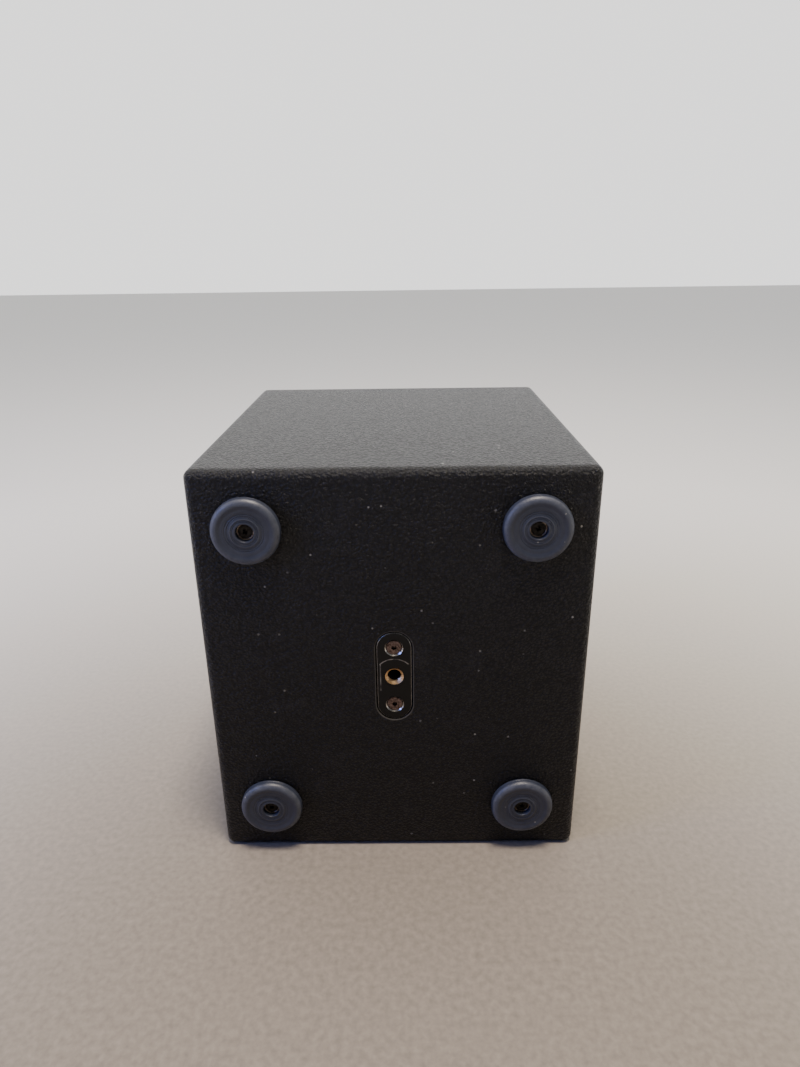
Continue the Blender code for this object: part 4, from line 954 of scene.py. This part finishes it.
machine_screw_steel = plated_steel("copper_tinted_zinc", "#8b7974", "#3d302f", 0.34, "#131011")
for number, face in enumerate(screw_faces, 1):
    low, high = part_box(f"mounting_screw_{number}")
    outline = flat_head_outline(PLATE_SCREW_HEAD, PLATE_SCREW_SHANK, high.y - low.y - PLATE_SCREW_SINK)
    screw = turned(f"plate_screw_{number}", outline, face, machine_screw_steel, steps=48)
    spun = face @ Matrix.Rotation(number, 4, "Z")
    combine(screw, [hexagon(spun, radius=1.75 * MM, depth=2.2 * MM)])
    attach(screw, "cabinet")
    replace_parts(screw, f"mounting_screw_{number}")

# ---- Rubber feet ------------------------------------------------------------------------------------
# Compression-moulded rubber discs with a broad rounded rim and a shallow dished face, in which the
# mould's turning marks show as fine rings. The rim is painted paler, partly as dust and partly as a
# painted highlight. A screw holds each one.

FOOT_RADIUS = 20 * MM
FOOT_HEIGHT = 6 * MM
FOOT_EDGE = 3.5 * MM
FOOT_BORE = 5.2 * MM
FOOT_FLOOR = 0.8 * MM
SCREW_PASSAGE = 2.8 * MM
DISH_RADIUS = 13.6 * MM
DISH = 0.55 * MM
BOSS_RADIUS = 8.4 * MM  # a low step in the mould round the screw's hole
BOSS = 0.2 * MM


def foot_outline():
    """From the screw's passage out along the underside, up the wall, over the rim and in to the bore."""
    wall_top = FOOT_HEIGHT - FOOT_EDGE
    parting = wall_top * 0.6
    crest = FOOT_RADIUS - FOOT_EDGE
    points = [(SCREW_PASSAGE, GAP), (FOOT_RADIUS - 0.3 * MM, GAP), (FOOT_RADIUS, GAP + 0.3 * MM)]
    points += [(FOOT_RADIUS, parting - 0.2 * MM), (FOOT_RADIUS - 0.12 * MM, parting)]
    points += [(FOOT_RADIUS, parting + 0.2 * MM)]
    points += arc(crest, wall_top, FOOT_EDGE, 0, 90, 10)
    for step in range(1, 9):
        part = step / 8
        drop = DISH * (1 - math.cos(math.pi * part)) / 2
        points.append((crest + (DISH_RADIUS - crest) * part, FOOT_HEIGHT - drop))
    level = FOOT_HEIGHT - DISH
    half_groove, groove_depth = 0.25 * MM, 0.16 * MM
    for ring in (11.2 * MM, 10.0 * MM):
        points += [(ring + half_groove, level), (ring, level - groove_depth), (ring - half_groove, level)]
    points += [(BOSS_RADIUS + 0.35 * MM, level), (BOSS_RADIUS + 0.1 * MM, level + 0.1 * MM)]
    points += [(BOSS_RADIUS - 0.1 * MM, level + BOSS)]
    for ring in (7.7 * MM, 6.9 * MM):
        points += [(ring + 0.2 * MM, level + BOSS), (ring, level), (ring - 0.2 * MM, level + BOSS)]
    points += arc(FOOT_BORE + 0.45 * MM, level + BOSS - 0.45 * MM, 0.45 * MM, 90, 180, 4)
    points += [(FOOT_BORE, GAP + FOOT_FLOOR), (SCREW_PASSAGE, GAP + FOOT_FLOOR)]
    return points


def moulded_rubber():
    """Moulded rubber: blue-grey black with a soft sheen and turned rings; its paler rim is partly dust,
    partly painted highlight.
    """
    material, tree, shader, place = start_material("moulded_rubber", 0.42)
    radius = add_node(tree, "ShaderNodeAttribute", attribute_name="radius").outputs["Fac"]
    # Turning marks: waves of the radius, uneven in width and depth, on the flat of the face.
    uneven = add_node(
        tree, "ShaderNodeTexNoise", {"W": radius, "Scale": 0.9 / MM, "Detail": 3.0, "Roughness": 0.8},
        noise_dimensions="1D",
    )
    face = remap(tree, radius, DISH_RADIUS, DISH_RADIUS - 2 * MM, 0.0, 1.6)
    rings = calculate(tree, "MULTIPLY", uneven.outputs["Fac"], face)
    skin = noise(tree, place, 0.8 * MM, 4.0, 0.65)
    emboss(tree, shader, calculate(tree, "MULTIPLY_ADD", skin, 0.7, rings), 0.8, 0.2 * MM)

    # Dust lies in patches all over. The rim is paler still, partly dust and partly painted highlight,
    # and the pale ring at the step round the screw's hole is a painted highlight.
    wall = remap(tree, radius, FOOT_RADIUS - 0.5 * MM, FOOT_RADIUS - 0.1 * MM, 1.0, 0.1)
    rim_start = FOOT_RADIUS - FOOT_EDGE - 1.4 * MM
    rim = remap(tree, radius, rim_start, FOOT_RADIUS - 1.2 * MM, 0.0, 0.75, "SMOOTHSTEP")
    patchy = remap(tree, noise(tree, place, 6 * MM, 6.0, 0.75), 0.3, 0.7, 0.25, 1.0)
    rubbed_and_highlight = calculate(tree, "MULTIPLY", calculate(tree, "MULTIPLY", rim, wall), patchy)
    spread = calculate(tree, "MULTIPLY_ADD", patchy, 0.22, rubbed_and_highlight)
    # The pale ring at the step is a painted highlight.
    off_step = calculate(tree, "ABSOLUTE", calculate(tree, "SUBTRACT", radius, BOSS_RADIUS))
    step_painted_highlight = remap(tree, off_step, 0.15 * MM, 0.4 * MM, 0.28, 0.0)
    paled_colour = mix_colours(tree, calculate(tree, "ADD", spread, step_painted_highlight), "#1f2639", "#585c68")
    feed(tree, shader, {"Base Color": speckled(tree, place, paled_colour, 5 * MM)})
    return material


rubber = moulded_rubber()
foot_places = []
for number in range(1, 5):
    low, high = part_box(f"foot_{number}")
    place = seat(low, high, 1, underside_y, OUT_OF_BASE)
    centre = place.translation
    foot_places.append(place)
    foot = turned(f"rubber_foot_{number}", foot_outline(), place, rubber, steps=96, smooth_angle=50)
    radii = foot.data.attributes.new("radius", "FLOAT", "POINT")
    radii.data.foreach_set(
        "value", [math.hypot(vert.co.x - centre.x, vert.co.z - centre.z) for vert in foot.data.vertices]
    )
    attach(foot, "cabinet")
    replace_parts(foot, f"foot_{number}")

# ---- Foot washers and screws ------------------------------------------------------------------------
# Yellow passivated cup washers, pressed from sheet, with cross-head wood screws driven through them.
# Both are dull and a little rusty at the bottom of the foot's bore.

washer_steel = plated_steel("yellow_passivated_steel", "#a8998c", "#63574c", 0.38)
wood_screw_steel = plated_steel("aged_zinc_plate", "#3a3734", "#1c1a19", 0.5, "#120f0d")
WASHER_RADIUS = 4.9 * MM
FOOT_SCREW_HEAD = 4.0 * MM
FOOT_SCREW_SHANK = 2 * MM
for number, place in enumerate(foot_places, 1):
    low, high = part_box(f"foot_washer_{number}")
    washer_bottom, washer_top = underside_y - high.y, underside_y - low.y
    rim = FOOT_SCREW_HEAD + 0.45 * MM
    hole = rim - (washer_top - washer_bottom)
    cup = [
        (hole, washer_bottom), (WASHER_RADIUS - 0.3 * MM, washer_bottom),
        (WASHER_RADIUS, washer_bottom + 0.3 * MM), (WASHER_RADIUS, washer_top - 0.15 * MM),
        (WASHER_RADIUS - 0.15 * MM, washer_top), (rim, washer_top),
    ]
    washer = turned(f"cup_washer_{number}", cup, place, washer_steel, steps=48)
    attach(washer, "cabinet")
    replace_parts(washer, f"foot_washer_{number}")

    low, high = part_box(f"foot_screw_{number}")
    face = place @ Matrix.Translation((0, 0, underside_y - low.y))
    outline = flat_head_outline(FOOT_SCREW_HEAD, FOOT_SCREW_SHANK, high.y - low.y)
    screw = turned(f"wood_screw_{number}", outline, face, wood_screw_steel, steps=48)
    spun = face @ Matrix.Rotation(0.7 * number, 4, "Z")
    combine(screw, cross(spun, reach=2.3 * MM, width=0.9 * MM, depth=1.6 * MM))
    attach(screw, "cabinet")
    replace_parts(screw, f"foot_screw_{number}")

# ---- Floor, light and camera ------------------------------------------------------------------------
# A plain pale floor, one broad soft light overhead, a bright surround behind and a dimmer one in front.

FLOOR_SIZE = 14.0
bm = bmesh.new()
bmesh.ops.create_grid(bm, x_segments=1, y_segments=1, size=FLOOR_SIZE / 2)
floor_material, tree, shader, place = start_material("pale_floor", 0.9)
weave_in_painted_shadow = mix_colours(tree, noise(tree, place, 4 * MM, 4.0), "#6c655c", "#9a9085")
# It is darker in front of the cabinet, a painted shadow, and pales towards its edges.
distance = add_node(tree, "ShaderNodeVectorMath", {0: place, 1: (0, -0.35, 0)}, operation="DISTANCE")
far = remap(tree, distance.outputs["Value"], 0.15, 1.15, 0.0, 1.0, "SMOOTHSTEP")
feed(tree, shader, {"Base Color": mix_colours(tree, far, weave_in_painted_shadow, "#f0efee")})
floor_piece = finish_mesh(bm, "floor", floor_material)

world = bpy.data.worlds.new("studio")
bpy.context.scene.world = world
world.use_nodes = True
tree = world.node_tree
direction = add_node(tree, "ShaderNodeTexCoord").outputs["Generated"]
parts = add_node(tree, "ShaderNodeSeparateXYZ", {"Vector": direction})
behind = remap(tree, parts.outputs["Y"], -0.6, 0.7, 0.08, 1.65, "SMOOTHSTEP")
seen = add_node(tree, "ShaderNodeLightPath").outputs["Is Camera Ray"]
strength = add_node(
    tree, "ShaderNodeMix", {"Factor": seen, "A": behind, "B": 1.75}, data_type="FLOAT"
)
paper_white = linear("#fbfaf9")
feed(tree, tree.nodes["Background"], {"Color": paper_white, "Strength": strength.outputs["Result"]})


def soft_light(name, size, power, colour, at, towards):
    """An area light that faces a point, with its size in metres and its power in watts."""
    lamp = bpy.data.lights.new(name, "AREA")
    lamp.shape = "RECTANGLE"
    lamp.size, lamp.size_y = size
    lamp.energy = power
    lamp.color = linear(colour)[:3]
    light = bpy.data.objects.new(name, lamp)
    bpy.context.scene.collection.objects.link(light)
    light.location = at
    light.rotation_mode = "QUATERNION"
    light.rotation_quaternion = (Vector(towards) - Vector(at)).to_track_quat("-Z", "Y")


soft_light("ceiling_light", (0.35, 0.45), 46, "#fff0dc", (0.1, -0.35, 1.9), (0, 0, 0.2))
soft_light("window_light", (0.5, 0.7), 15, "#7c98ff", (-1.7, -0.75, 0.9), (0, 0, 0.15))

CAMERA_FROM_UNDERSIDE = 382.9 * MM
CAMERA_HEIGHT = 377.0 * MM
CAMERA_SIDE = 7.9 * MM
PITCH_DOWN = math.radians(21.39)
YAW = math.radians(-0.65)
ROLL = math.radians(-0.79)
FOCAL_LENGTH = 24.51
ahead = math.cos(PITCH_DOWN)
forward = Vector((math.sin(YAW) * ahead, math.cos(YAW) * ahead, -math.sin(PITCH_DOWN)))
right = Vector((math.cos(YAW), -math.sin(YAW), 0))
up = right.cross(forward)
level_x = right * math.cos(ROLL) + up * math.sin(ROLL)
level_y = up * math.cos(ROLL) - right * math.sin(ROLL)
lens = bpy.data.cameras.new("camera")
lens.sensor_width = 36
lens.lens = FOCAL_LENGTH
camera = bpy.data.objects.new("camera", lens)
bpy.context.scene.collection.objects.link(camera)
spot = Matrix.Translation((CAMERA_SIDE, underside_y - CAMERA_FROM_UNDERSIDE, CAMERA_HEIGHT))
camera.matrix_world = spot @ Matrix((level_x, level_y, -forward)).transposed().to_4x4()
bpy.context.scene.camera = camera
